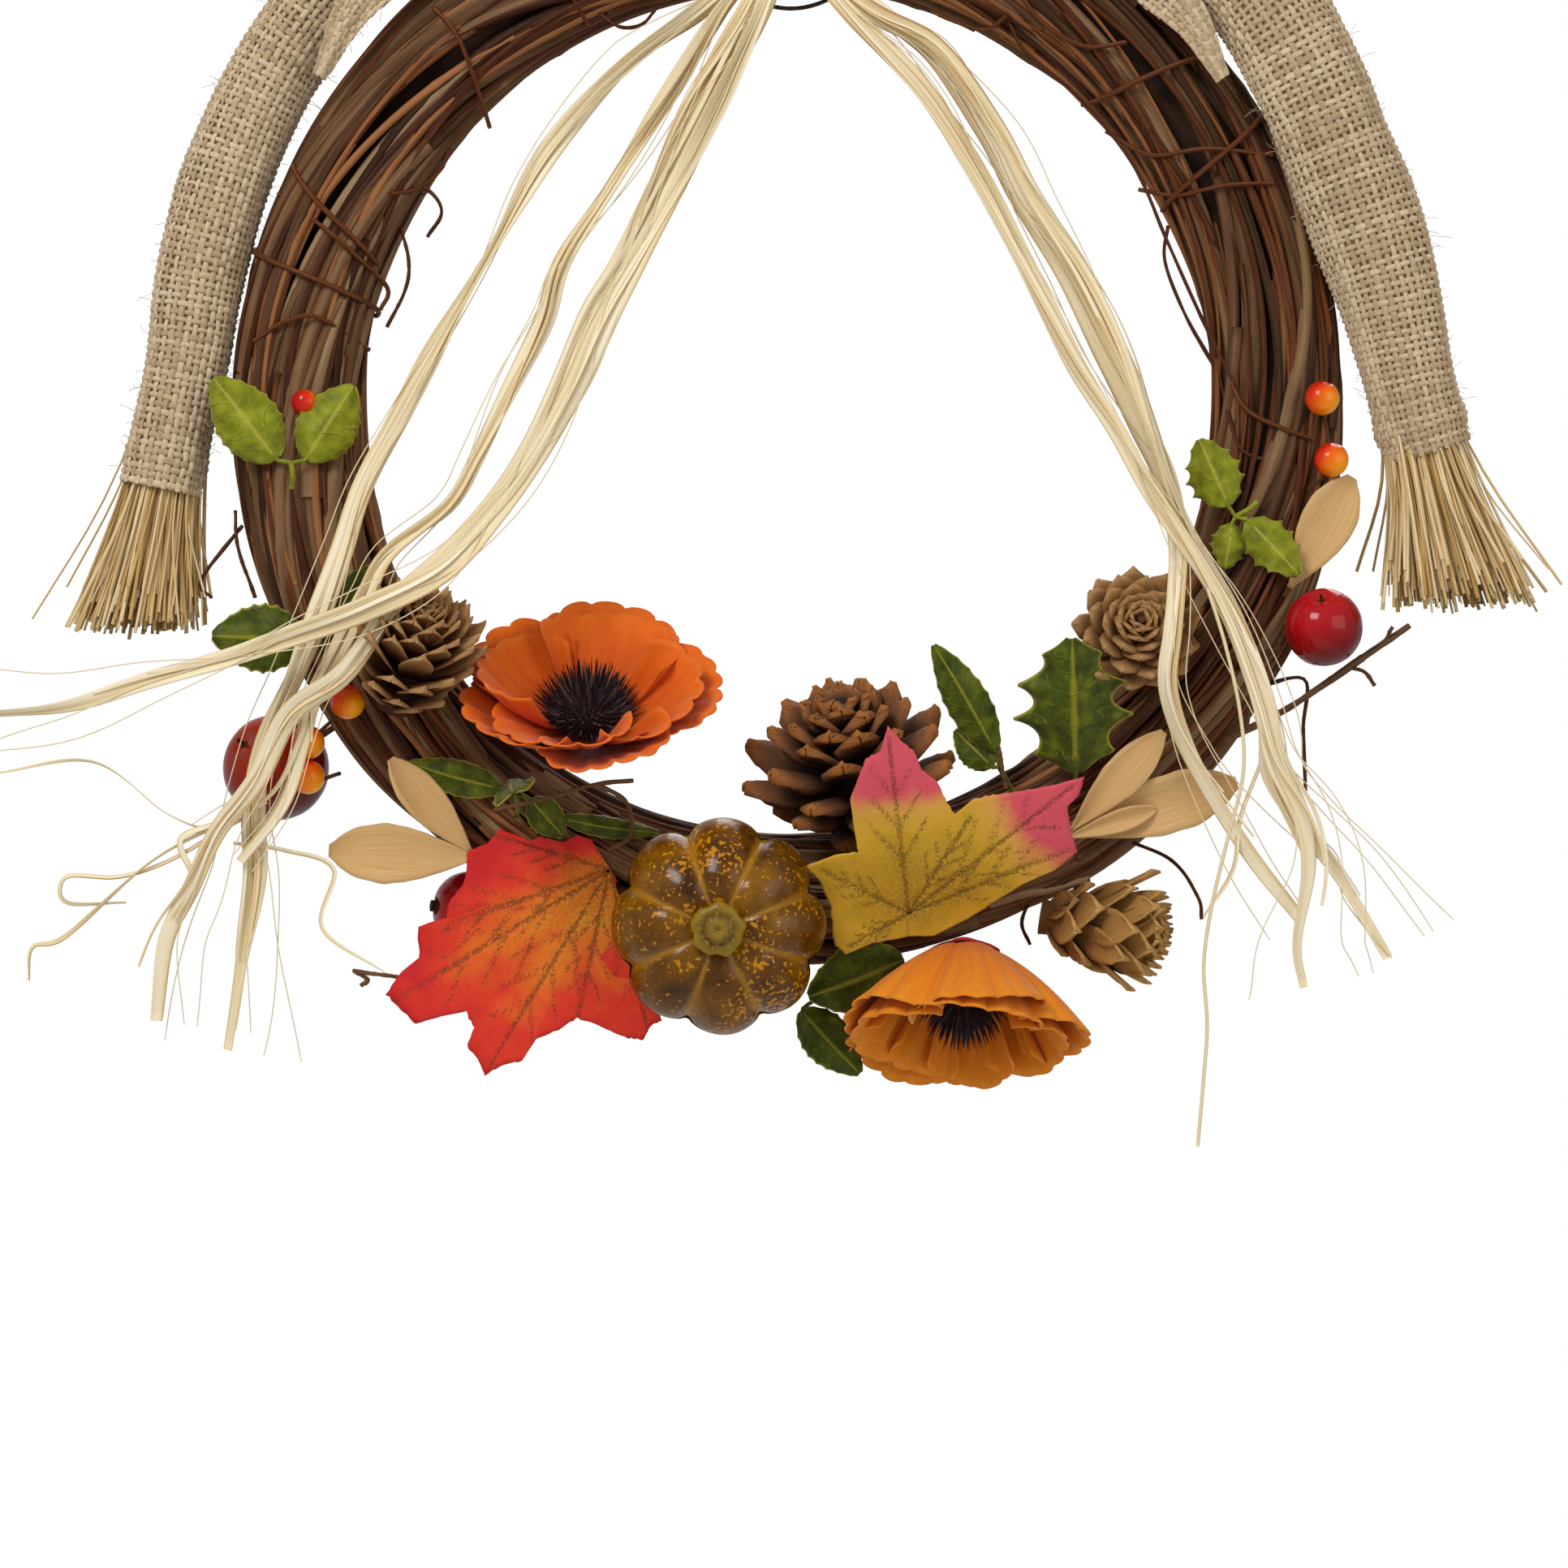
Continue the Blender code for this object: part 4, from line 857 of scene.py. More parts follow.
def make_arm(side, finishes, straw):
    """A burlap sleeve of real weave, and the straw that fans out of its cuff."""
    name = "left" if side < 0 else "right"
    width = 24.6 if side < 0 else 31.0
    depth = 24.0
    narrowing = 0.1 if side < 0 else 0.24
    line = smooth_route(sleeve_line(side), 200)
    rows = frames_along(line, Vector((0, 1, 0)))
    seed = 4.0 if side < 0 else 9.0

    def surface(u, v):
        (start, across, lift, _), after, share = between(rows, v)
        centre = start.lerp(after[0], share)
        angle = TWO_PI * u
        dent = noise.noise(Vector((math.cos(angle) * 0.9, math.sin(angle) * 0.9 + seed, v * 5)))
        crease = noise.noise(Vector((math.cos(angle) * 2.2 + v * 6, math.sin(angle) * 2.2 + seed, v * 11)))
        cuff = 1 - narrowing * eased(v, 0.7, 1.0) + 0.05 * math.exp(-((v - 0.97) / 0.012) ** 2)
        drawn = 1 - eased(v, 0.0, 0.11)
        pleats = 1 + 0.16 * drawn * math.cos(8 * angle + 3 * v)
        size = (1 + 0.11 * dent + 0.07 * crease) * cuff * (1 - 0.93 * drawn**1.6) * pleats
        normal = (across * math.cos(angle) / width + lift * math.sin(angle) / depth).normalized()
        place = centre + across * math.cos(angle) * (width / 2 - THREAD_ROOM) * size
        return place + lift * math.sin(angle) * (depth / 2 - THREAD_ROOM) * size, normal

    length = route_length(line)
    round_it = math.pi * (width + depth) / 2
    weave(
        f"sleeve_{name}", surface, int(round_it / WEAVE_PITCH / 2) * 2, int(length / WEAVE_PITCH), f"arm_{name}",
        finishes, [f"arm_sleeve_{name}"],
        around=True, fuzz=900, bare=0.05,
    )
    generator = random.Random(side + 5)
    cuff = line[-1]
    along = rows[-1][3]
    lean = Vector((-7, 0, -38)) if side < 0 else Vector((10, 0, -41))
    hand = Pile()
    for _ in range(STRAWS):
        radius = math.sqrt(generator.random())
        angle = generator.uniform(0, TWO_PI)
        flat_x = radius * math.cos(angle)
        flat_y = radius * math.sin(angle)
        mouth = 1 - narrowing
        start = cuff + Vector((flat_x * (width * mouth / 2 - 2), flat_y * (depth * mouth / 2 - 2), 0))
        start -= along * generator.uniform(8, 25)
        length = generator.uniform(0.72, 1.02)
        fan = Vector((flat_x * (18 if side < 0 else 21), flat_y * 12, 0))
        if generator.random() < 0.05:
            fan *= 1.6
        end = cuff + lean * length + fan * length + Vector((0, 0, (1 - length) * 4))
        end += Vector([generator.uniform(-2.5, 2.5) for _ in range(3)])
        middle = start.lerp(end, 0.5) + Vector([generator.uniform(-1, 1) for _ in range(3)]) - fan * 0.1
        size = generator.uniform(0.2, 0.62)
        tube(hand, smooth_route([start, middle, end], 8), size, 4, shade=generator.uniform(0.1, 0.95))
    # A dark mass inside the bunch of straw, in the darkest straw tone: painted shade in the depths between the
    # straws.
    heart = Pile()
    blob = [cuff - along * 30, cuff - along * 10, cuff + lean * 0.25, cuff + lean * 0.55, cuff + lean * 0.8]
    fat = (0.9, 0.95, 0.85, 0.8, 0.3)
    route = smooth_route(blob, 20)

    def girth(share, angle):
        thick, after, step = between(fat, share)
        room = width * (1 - narrowing) / 2 - 3.5
        return room * (thick + (after - thick) * step) * (1 + 0.1 * math.sin(7 * angle))

    tube(heart, route, girth, 14, up=Vector((0, 1, 0)), shade=0.0)
    hand.made(f"straw_{name}", straw, "straw", f"arm_straw_{name}", body=f"arm_{name}")
    heart.made(f"straw_heart_{name}", straw, "straw", body=f"arm_{name}")


def make_bow(finishes):
    """The burlap bow: a gathered knot with its band, two loops and two tapering tails."""
    for side, name in ((-1, "left"), (1, "right")):
        low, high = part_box(f"burlap_bow_loop_{name}")
        centre = ((low + high) / 2 - CENTRE) / MM
        size = (high - low) / MM

        def loop_surface(u, v, centre=centre, size=size, side=side):
            angle = TWO_PI * v
            x = centre.x - side * (size.x / 2 - 1) * math.cos(angle)
            lobe = math.sin(angle) * (1 - 0.45 * math.cos(angle)) / 1.15
            z = centre.z + (size.z / 2 - 0.8) * lobe
            fold = 0.9 * math.sin(TWO_PI * u * 1.5 + side) * math.sin(angle / 2)
            normal = Vector((-side * math.cos(angle) * 0.8, 0, math.sin(angle))).normalized()
            y = centre.y + size.y * (u - 0.5) * (0.75 + 0.25 * math.sin(angle / 2))
            return Vector((x, y, z)) + normal * fold, normal

        weave(
            f"bow_loop_{name}", loop_surface, 6, 52, "wreath", finishes,
            [f"burlap_bow_loop_{name}"], fuzz=60,
        )
        route = ((352.5, 16), (340, 24), (325, 26), (314, 26), (305, 21))
        if side > 0:
            route = ((7.5, 16), (20, 20), (33, 19), (45, 17), (53, 13))
        line = smooth_route([spot(clock, out, 3.8) for clock, out in route], 60)

        def tail_surface(u, v, line=line):
            start, after, share = between(line, v)
            middle = start.lerp(after, share)
            taper = 1.0 if v < 0.75 else 1.0 - 0.8 * (v - 0.75) / 0.25
            outward = Vector((middle.x, 0, middle.z)).normalized()
            ripple = 1.2 * math.sin(9 * v) + 0.9 * math.sin(TWO_PI * u + 5 * v)
            return middle + outward * 15 * taper * (u - 0.5) + FORWARD * ripple, FORWARD.copy()

        weave(
            f"bow_tail_{name}", tail_surface, 8, int(route_length(line) / WEAVE_PITCH), "wreath", finishes,
            [f"burlap_bow_tail_{name}"], fuzz=70,
        )
    low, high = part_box("burlap_bow_knot")
    front = (low.y - CENTRE.y) / MM
    middle = Vector((0, front + 6.5, (high.z - CENTRE.z) / MM - 17))

    def knot_surface(u, v):
        turn = TWO_PI * u
        rise = math.pi * (0.08 + 0.84 * v)
        swell = math.sin(rise) ** 0.6 * (1 + 0.10 * math.sin(3 * turn + 4 * v))
        outward = Vector((math.cos(turn) * 10 * swell, math.sin(turn) * 6.5 * swell, 17 * math.cos(rise)))
        return middle + outward, outward.normalized()

    weave(
        "bow_knot", knot_surface, 24, 15, "wreath", finishes,
        ["burlap_bow_knot"], around=True, fuzz=60,
    )

    shoulder = OUTER + SHOULDER_RISE
    twine = Pile()
    for strand in range(3):
        turn = TWO_PI * strand / 3
        path = smooth_route([
            (-17.5, 0, shoulder), (-12, -5, shoulder - 2), (-6, middle.y + 3, shoulder - 6),
            (0, middle.y - 1, shoulder - 8),
            (6, middle.y + 3, shoulder - 6), (12, -5, shoulder - 2), (17.5, 0, shoulder),
        ], 90)
        twisted = []
        for i, (point, across, lift, _) in enumerate(frames_along(path, FORWARD)):
            angle = turn + i * 0.5
            twisted.append(point + (across * math.cos(angle) + lift * math.sin(angle)) * 0.8)
        tube(twine, twisted, 0.75, 7, shade=0.3 + 0.2 * strand)
    twine.made("shoulder_twine", finishes[1], "burlap")

    def band_surface(u, v):
        angle = 360 * v
        place = section(math.degrees(14 * (u - 0.5) / MIDDLE), angle, SPREAD + 1.6, HALF_DEPTH + 1.6)
        turn = math.radians(angle)
        normal = Vector((0, -math.sin(turn) / HALF_DEPTH, math.cos(turn) / SPREAD))
        return place, normal.normalized()

    weave(
        "bow_band", band_surface, 7, 50, "wreath", finishes,
        ["burlap_bow_knot"], fuzz=30,
    )


# ---------------------------------------------------------------- trimmings


def plate(pile, grid, thickness, uvs, shades):
    """A thin sheet with two faces and a rim, from rows of points; uvs holds a pair for each point."""
    rows = len(grid)
    columns = len(grid[0])
    front = []
    back = []
    for j in range(rows):
        for i in range(columns):
            along = grid[min(j + 1, rows - 1)][i] - grid[max(j - 1, 0)][i]
            across = grid[j][min(i + 1, columns - 1)] - grid[j][max(i - 1, 0)]
            normal = along.cross(across)
            normal = normal.normalized() if normal.length > 1e-9 else FORWARD.copy()
            front.append(grid[j][i] + normal * thickness / 2)
            back.append(grid[j][i] - normal * thickness / 2)
    size = rows * columns
    faces = []
    for j in range(rows - 1):
        for i in range(columns - 1):
            a = j * columns + i
            faces.append((a, a + 1, a + columns + 1, a + columns))
            faces.append((size + a, size + a + columns, size + a + columns + 1, size + a + 1))
    rim = list(range(columns))
    rim += [j * columns + columns - 1 for j in range(1, rows)]
    rim += [(rows - 1) * columns + i for i in reversed(range(columns - 1))]
    rim += [j * columns for j in reversed(range(1, rows - 1))]
    for a, b in zip(rim, rim[1:] + rim[:1]):
        faces.append((a, size + a, size + b, b))
    pile.add(front + back, faces, uvs * 2, shades * 2)


def curved_plate(pile, rows, columns, thickness, place):
    """A thin sheet; place(s, t) gives a point, its UV and its shade, at s 0..1 along and t -1..1 across."""
    grid = []
    uvs = []
    shades = []
    for j in range(rows + 1):
        row = []
        for i in range(columns + 1):
            point, uv, shade = place(j / rows, 2 * i / columns - 1)
            row.append(point)
            uvs.append(uv)
            shades.append(shade)
        grid.append(row)
    plate(pile, grid, thickness, uvs, shades)


def round_skin(pile, rows, columns, place):
    """A skin of rows that go round; place(row, turn) gives a point, its UV and its shade."""
    made = [place(j, TWO_PI * i / columns) for j in range(rows) for i in range(columns)]
    points, uvs, shades = zip(*made)
    pile.add(points, stitch(rows, columns), uvs, shades)


def basis(direction):
    """Three axes with the third along a direction."""
    turn = Vector(direction).normalized().to_track_quat("Z", "Y").to_matrix()
    return turn.col[0], turn.col[1], turn.col[2]


def uv_parts(tree):
    """The two numbers of the UV as sockets."""
    source = tree.nodes.new("ShaderNodeTexCoord")
    split = tree.nodes.new("ShaderNodeSeparateXYZ")
    tree.links.new(source.outputs["UV"], split.inputs["Vector"])
    return split.outputs["X"], split.outputs["Y"]


def speckled_skin(name, skin, groove, speck, roughness):
    """Glossy dark gourd skin with pale grooves and scattered specks."""
    made, tree, shader = finish_nodes(name, roughness, coat=0.15)
    shader.inputs["Coat Roughness"].default_value = 0.1
    place = coordinates(tree, "Object")
    mottled = ramp(tree, noisy(tree, place, 90, 5), skin)
    spots = noisy(tree, place, 820, 1.0, 0.4)
    patches = noisy(tree, place, 60, 2.0)
    speckle = weighted(tree, patches, 0.35, spots, 0.75)
    mask = ramp(tree, speckle, ((0.64, "000000"), (0.69, "FFFFFF")))
    colours = blended(tree, maths(tree, "MULTIPLY", mask, 0.75), mottled, speck)
    colours = blended(tree, value_of(tree, "shade"), colours, groove)
    tree.links.new(colours, shader.inputs["Base Color"])
    bumped(tree, shader, noisy(tree, place, 260), 0.25, 0.4)
    return made


def make_pumpkin():
    """The ribbed body and its stem button, facing the viewer."""
    low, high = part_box("pumpkin_body")
    radius = (high.x - low.x) / MM / 2
    half_height = 19.0
    stem_low, stem_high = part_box("pumpkin_stem")
    centre = ((low + high) / 2 - CENTRE) / MM
    across, up, out = basis((0, -1, -0.03))
    ribs = 8
    rows = 56

    def body_place(j, turn):
        bend = math.pi * j / rows
        front = bend > math.pi / 2
        lobe = abs(math.cos(ribs * turn / 2 + 0.25 * math.sin(turn)))
        groove = 1 - lobe**0.55
        round_it = math.sin(bend) ** 0.8
        wide = radius * round_it * (1 - 0.13 * groove * min(1, round_it * 1.4))
        wide *= 1 + 0.02 * noise.noise(Vector((math.cos(turn) * 2, math.sin(turn) * 2, bend)))
        tall = -half_height * math.cos(bend)
        tall -= 5.0 * max(0.0, 1 - wide / 15) ** 1.3 if front else 0.0
        tall -= (3.0 if front else -3.0) * groove * round_it
        point = centre + across * wide * math.cos(turn) + up * wide * math.sin(turn) + out * tall
        line = math.exp(-((lobe / 0.2) ** 2))
        return point, (turn / TWO_PI, j / rows), 0.8 * line * eased(bend, 1.4, 2.2)

    body = Pile()
    round_skin(body, rows + 1, 160, body_place)
    skin = speckled_skin(
        "pumpkin_skin", ((0.3, "3A2004"), (0.48, "603A06"), (0.7, "84580A")), "A8761C", "CC860C", 0.24
    )
    body.made("pumpkin", skin, "pumpkin_skin", "pumpkin_body")
    # The button's outline from its rim to its hollow top, as (radius, height)
    profile = (
        (0.2, 4.6), (2.2, 4.9), (3.4, 4.4), (4.0, 3.6), (4.6, 3.9), (6.2, 4.1), (7.0, 3.0), (7.2, 0), (6.6, -2),
    )
    base = ((stem_low + stem_high) / 2 - CENTRE) / MM - out * 2.5

    def button_place(j, turn):
        wide, tall = profile[j]
        size = wide * (1 + 0.05 * math.sin(5 * turn + wide) + 0.04 * math.sin(9 * turn))
        point = base + across * size * math.cos(turn) + up * size * math.sin(turn) + out * tall
        # Darker in the ring groove at radius 4 and paler on the rim and the top: painted shade in the groove.
        return point, (turn / TWO_PI, wide), min(1.0, abs(wide - 4.0) / 2.5)

    button = Pile()
    round_skin(button, len(profile), 48, button_place)
    stem_skin = speckled_skin(
        "pumpkin_stem", ((0.3, "38280A"), (0.6, "5E480C"), (0.8, "745A14")), "8A6E1E", "8E6A18", 0.45
    )
    button.made("pumpkin_stem_button", stem_skin, "pumpkin_stem", "pumpkin_stem")


def petal_finish(name, deep, middle, bright):
    """Satin cloth: brighter at the rim, with a fine weave and fibres along the petal."""
    made, tree, shader = finish_nodes(name, 0.62, 0.12)
    streak = noisy(tree, coordinates(tree, "UV", (22, 0.12, 1)), 1.0, 3)
    tone = weighted(tree, value_of(tree, "shade"), 0.75, streak, 0.4)
    tinted = ramp(tree, tone, ((0.15, deep), (0.5, middle), (0.95, bright)))
    tree.links.new(tinted, shader.inputs["Base Color"])
    weave_height = noisy(tree, coordinates(tree, "UV", (60, 2.5, 1)), 1.0, 2)
    bumped(tree, shader, weave_height, 0.15, 0.5)
    return made


PETAL_FOOT = 5.0
PETAL_THICKNESS = 0.45
LEAF_THICKNESS = 0.4
HEART_RISE = 5.5
BRISTLES = 330


def add_petal(pile, base, axes, middle, spread, reach, height, lift, teeth, warp, shift):
    """One pinked petal, from the flower's middle outwards."""
    side, up, out = axes

    def place(s, t):
        notch = 0.055 * (1 - abs(math.sin(math.pi * teeth * (t + 1) / 2)) ** 0.6)
        edge = 1 - 0.30 * abs(t) ** 3 - notch
        wide = PETAL_FOOT + (reach * edge - PETAL_FOOT) * s
        angle = middle + t * spread * (0.92 + 0.08 * s)
        rise = height * s**1.45 + 1.5 * t * s
        rise += 4.2 * noise.noise(Vector((t * 1.2, s * 1.3, warp))) * s * s
        rise += 0.5 * noise.noise(Vector((t * 4, s * 2, warp + 9))) * s * s
        rise -= 1.4 * max(0.0, s - 0.85) / 0.15 * (0.5 + 0.5 * math.sin(3 * t + warp))
        around = side * math.cos(angle) + up * math.sin(angle)
        shade = min(max(0.2 + 0.7 * s + 0.05 * math.sin(t * 16 + warp) * s, 0), 1)
        return base + around * wide + out * (rise + lift), (t * 0.5 + 0.5 + shift, s * reach), shade

    curved_plate(pile, 18, 42, PETAL_THICKNESS, place)


def make_flower(name, base, direction, radius, height, finish, slot, heart, dark, seed):
    """A cloth poppy: two whorls of pinked petals round a bristly dark heart."""
    axes = basis(direction)
    side, up, out = axes
    generator = random.Random(seed)
    for whorl, scale, lift, count, roll in (("outer", 1.0, 0.0, 5, 0.0), ("inner", 0.86, 2.0, 4, 1.25)):
        pile = Pile()
        for k in range(count):
            middle = TWO_PI * k / count + roll + generator.uniform(-0.08, 0.08)
            spread = math.pi / count * 1.28
            reach = radius * scale * generator.uniform(0.95, 1.03)
            teeth = generator.choice((6, 7, 8))
            warp = generator.uniform(0, 50)
            add_petal(pile, base, axes, middle, spread, reach, height, lift, teeth, warp, k)
        pile.made(f"{name}_{whorl}_whorl", finish, slot, f"{name}_{whorl}_petals")
    wide_heart, tall_heart = heart
    foot = base + out * HEART_RISE

    def dome(j, turn):
        bend = math.pi / 2 * j / 8
        wide = wide_heart * 0.62 * math.cos(bend) + 0.05
        tall = tall_heart * 0.9 * math.sin(bend)
        return foot + (side * math.cos(turn) + up * math.sin(turn)) * wide + out * tall, (0, 0), 0.1

    centre = Pile()
    round_skin(centre, 9, 24, dome)
    for k in range(BRISTLES):
        turn = k * GOLDEN_ANGLE
        tilt = math.acos(1 - (k + 0.5) / BRISTLES * 0.97)
        around = side * math.cos(turn) + up * math.sin(turn)
        way = around * math.sin(tilt) + out * math.cos(tilt)
        start = foot + around * math.sin(tilt) * wide_heart * 0.55 + out * math.cos(tilt) * tall_heart * 0.8
        length = wide_heart * generator.uniform(0.32, 0.5)
        path = [start, start + way * length * 0.6, start + way * length + out * length * 0.25]
        tube(centre, path, lambda s, _: 0.36 * (1.15 - s), 4, shade=generator.uniform(0.1, 1.0))
    centre.made(f"{name}_heart", dark, "flower_centre", f"{name}_centre")


def make_flowers():
    """The orange poppy at the left and the amber one at the bottom, with its red calyx."""
    dark = fibre_material(
        "flower_centre", ((0.2, "120A0E"), (0.6, "34242A"), (0.95, "75635C")), (3, 1, 1), 0.8, 0.05
    )
    orange = petal_finish("petal_orange", "9A2C04", "CC4C04", "E06A0E")
    amber = petal_finish("petal_amber", "9A4204", "CE6A06", "E08618")
    upper = spot(211.5, -30.5, 3.5)
    lower = spot(162, 21, 2)
    down = (-0.05, -0.43, -0.9)
    make_flower("upper_flower", upper, (0, -0.63, 0.78), 36.5, 17, orange, "petal_orange", (15.5, 8.5), dark, 5)
    make_flower("lower_flower", lower, down, 34, 26, amber, "petal_amber", (14.5, 21), dark, 8)
    red = petal_finish("calyx_red", "7A0C08", "A81810", "BE2A18")
    side, up, out = basis(down)
    base = lower - out * 1.2

    def calyx(s, t):
        turn = math.pi * (t + 1)
        wide = 2.5 + 6.5 * s * (1 + 0.12 * math.sin(5 * turn))
        point = base + (side * math.cos(turn) + up * math.sin(turn)) * wide + out * (2.8 * s * s - 0.4)
        return point, (2 * (t + 1), 4 * s), 0.5

    pile = Pile()
    curved_plate(pile, 4, 40, 0.5, calyx)
    pile.made("lower_flower_calyx", red, "berry_red")


def maple_finish(name, stops):
    """Printed cloth leaf: a tint from vein to edge, dark veins and stipple, and a woven surface."""
    made, tree, shader = finish_nodes(name, 0.62)
    tint, vein = uv_parts(tree)
    place = coordinates(tree, "Object")
    wander = maths(tree, "MULTIPLY", maths(tree, "SUBTRACT", noisy(tree, place, 130, 4), 0.5), 0.45)
    colours = ramp(tree, maths(tree, "ADD", tint, wander), stops)
    stipple = noisy(tree, place, 1500, 2.0)
    dots = maths(tree, "ADD", maths(tree, "MULTIPLY", stipple, 2.4), -0.75)
    print_mask = maths(tree, "MULTIPLY", vein, dots)
    line = ramp(tree, print_mask, ((0.12, "000000"), (0.42, "FFFFFF")))
    colours = blended(tree, maths(tree, "MULTIPLY", line, 0.62), colours, "3A2408")
    threads = []
    for direction in ("X", "Z"):
        bands = tree.nodes.new("ShaderNodeTexWave")
        bands.bands_direction = direction
        bands.inputs["Scale"].default_value = 750
        bands.inputs["Distortion"].default_value = 1.5
        tree.links.new(place, bands.inputs["Vector"])
        threads.append(bands.outputs["Fac"])
    cloth = maths(tree, "MULTIPLY", *threads)
    shaded = blended(tree, maths(tree, "MULTIPLY", cloth, 0.09), colours, "F4E0C8")
    tree.links.new(shaded, shader.inputs["Base Color"])
    bumped(tree, shader, cloth, 0.2, 0.5)
    return made


def near_line(x, z, line):
    """The distance from a point to a run of straight lines."""
    best = 1e9
    for (ax, az), (bx, bz) in zip(line, line[1:]):
        dx, dz = bx - ax, bz - az
        share = min(max(((x - ax) * dx + (z - az) * dz) / (dx * dx + dz * dz), 0), 1)
        best = min(best, math.hypot(x - ax - dx * share, z - az - dz * share))
    return best


def make_maple_leaf(name, node, slot, place, corners, tips, lean, tint, finish, seed):
    """A maple leaf from its corner points round the vein centre, with ribs to its tips."""
    outline = []
    for k, (ax, az) in enumerate(corners):
        bx, bz = corners[(k + 1) % len(corners)]
        for step in range(5):
            share = step / 5
            bow = 0.5 * math.sin(math.pi * share) * noise.noise(Vector((k, seed, 0))) * 2
            nick = 0.7 * noise.noise(Vector((k * 5.3 + step * 1.7, seed, 3)))
            scale = 1 + nick / max(12, math.hypot(ax, az))
            outline.append(((ax + (bx - ax) * share + bow) * scale, (az + (bz - az) * share - bow) * scale))
    veins = [((0, 0), tip) for tip in tips]
    branches = []
    for tip_x, tip_z in tips:
        for share in (0.3, 0.48, 0.66):
            for turn in (0.62, -0.62):
                start = (tip_x * share, tip_z * share)
                reach = 0.34 * (1 - share * 0.6)
                way_x = tip_x * math.cos(turn) - tip_z * math.sin(turn)
                way_z = tip_x * math.sin(turn) + tip_z * math.cos(turn)
                branches.append((start, (start[0] + way_x * reach, start[1] + way_z * reach)))
    grid = []
    uvs = []
    rows = 26
    for j in range(rows + 1):
        s = 0.02 + 0.98 * j / rows
        row = []
        for x, z in outline + outline[:1]:
            px, pz = x * s, z * s
            main = math.exp(-((min(near_line(px, pz, line) for line in veins) / 0.55) ** 2))
            fine = math.exp(-((min(near_line(px, pz, line) for line in branches) / 0.4) ** 2))
            wave = 1.3 * noise.noise(Vector((px * 0.05, pz * 0.05, seed)))
            wave += 0.5 * noise.noise(Vector((px * 0.14, pz * 0.14, seed + 5)))
            y = lean(px, pz) + wave * s + 0.35 * main
            row.append(place + Vector((px, y, pz)))
            stipple_share = 0.42 * max(0.0, 1 - s * 0.8)
            uvs.append((tint(px, pz, s), min(1.0, main + 0.7 * fine + stipple_share)))
        grid.append(row)
    pile = Pile()
    plate(pile, grid, LEAF_THICKNESS, uvs, [0.5] * len(uvs))
    leaf = pile.made(name, finish, slot, node)


def make_maple_leaves():
    """The red leaf left of the pumpkin and the yellow one right of it."""
    red = maple_finish("maple_red", ((0.12, "E08A14"), (0.36, "E0640C"), (0.56, "DA2E10"), (0.8, "C60A14")))
    yellow = maple_finish("maple_yellow", ((0.1, "B08A16"), (0.3, "C89A1C"), (0.5, "D09A3C"), (0.78, "D04A58")))
    corners = (
        (-3, 3), (-5, 8), (-9, 9.5), (-13, 7.5), (-19, 9), (-24, 7), (-30, 11), (-33.5, 7), (-39, 5), (-39, 0),
        (-40, -4), (-44, -9), (-44.5, -13), (-52, -15.5), (-52, -24), (-57, -28), (-61, -34), (-57, -38),
        (-53, -42), (-46, -40), (-39, -38.5), (-37, -43), (-39, -48), (-36, -51.5), (-34, -56), (-29, -53),
        (-24, -52), (-20, -46), (-14, -43.5), (-9, -40.5), (-4, -42), (0, -44), (5, -46), (9, -46.5),
        (11, -42.5), (14, -41), (10, -36), (4, -31), (0, -28), (-3.5, -22), (-2, -12), (2, -3),
    )
    tips = ((-31, 9), (-59, -36), (-33, -54), (10, -42), (-52, -18), (-9, -42))
    make_maple_leaf(
        "red_maple_leaf", "maple_leaf_red", "maple_red", spot(201.05, 0.5, 3.4), corners, tips,
        lambda x, z: 0.022 * x + 0.02 * z + 1.2,
        lambda x, z, s: s * 0.68 + 0.2 * eased(z, -14, 2) + 0.12 * eased(-x, 40, 52), red, 2,
    )
    corners = (
        (0, -6), (-10, -8), (-17, -11), (-20, -8), (-21, 2), (-24, 9), (-28, 13), (-20, 16), (-14, 17), (-15, 24),
        (-16, 31), (-14, 36), (-12, 42), (-8, 44), (-6, 50.5), (-2, 46), (1, 44), (3, 39), (7, 36), (10, 30),
        (12, 27), (17, 31), (22, 32), (28, 33), (34, 34), (39, 35), (46.5, 37), (45, 32), (42, 29), (43, 23),
        (45, 17), (39, 12), (30, 8), (18, 0), (7, -6),
    )
    tips = ((-6, 48), (44, 35), (-24, 12), (43, 18), (-16, -9), (16, 26))

    def pink_tips(x, z, s):
        top = eased(-math.hypot(x + 4, z - 52), -34, -14)
        right = eased(-math.hypot(x - 47, z - 36), -36, -14)
        return 0.12 + 0.66 * max(top, right) + 0.15 * s

    make_maple_leaf(
        "yellow_maple_leaf", "maple_leaf_yellow", "maple_yellow", spot(166.8, 7, 10.5), corners, tips,
        lambda x, z: -28 * (1 - math.exp(-(z + math.hypot(z, 9)) / 48)) + 1,
        pink_tips, yellow, 6,
    )


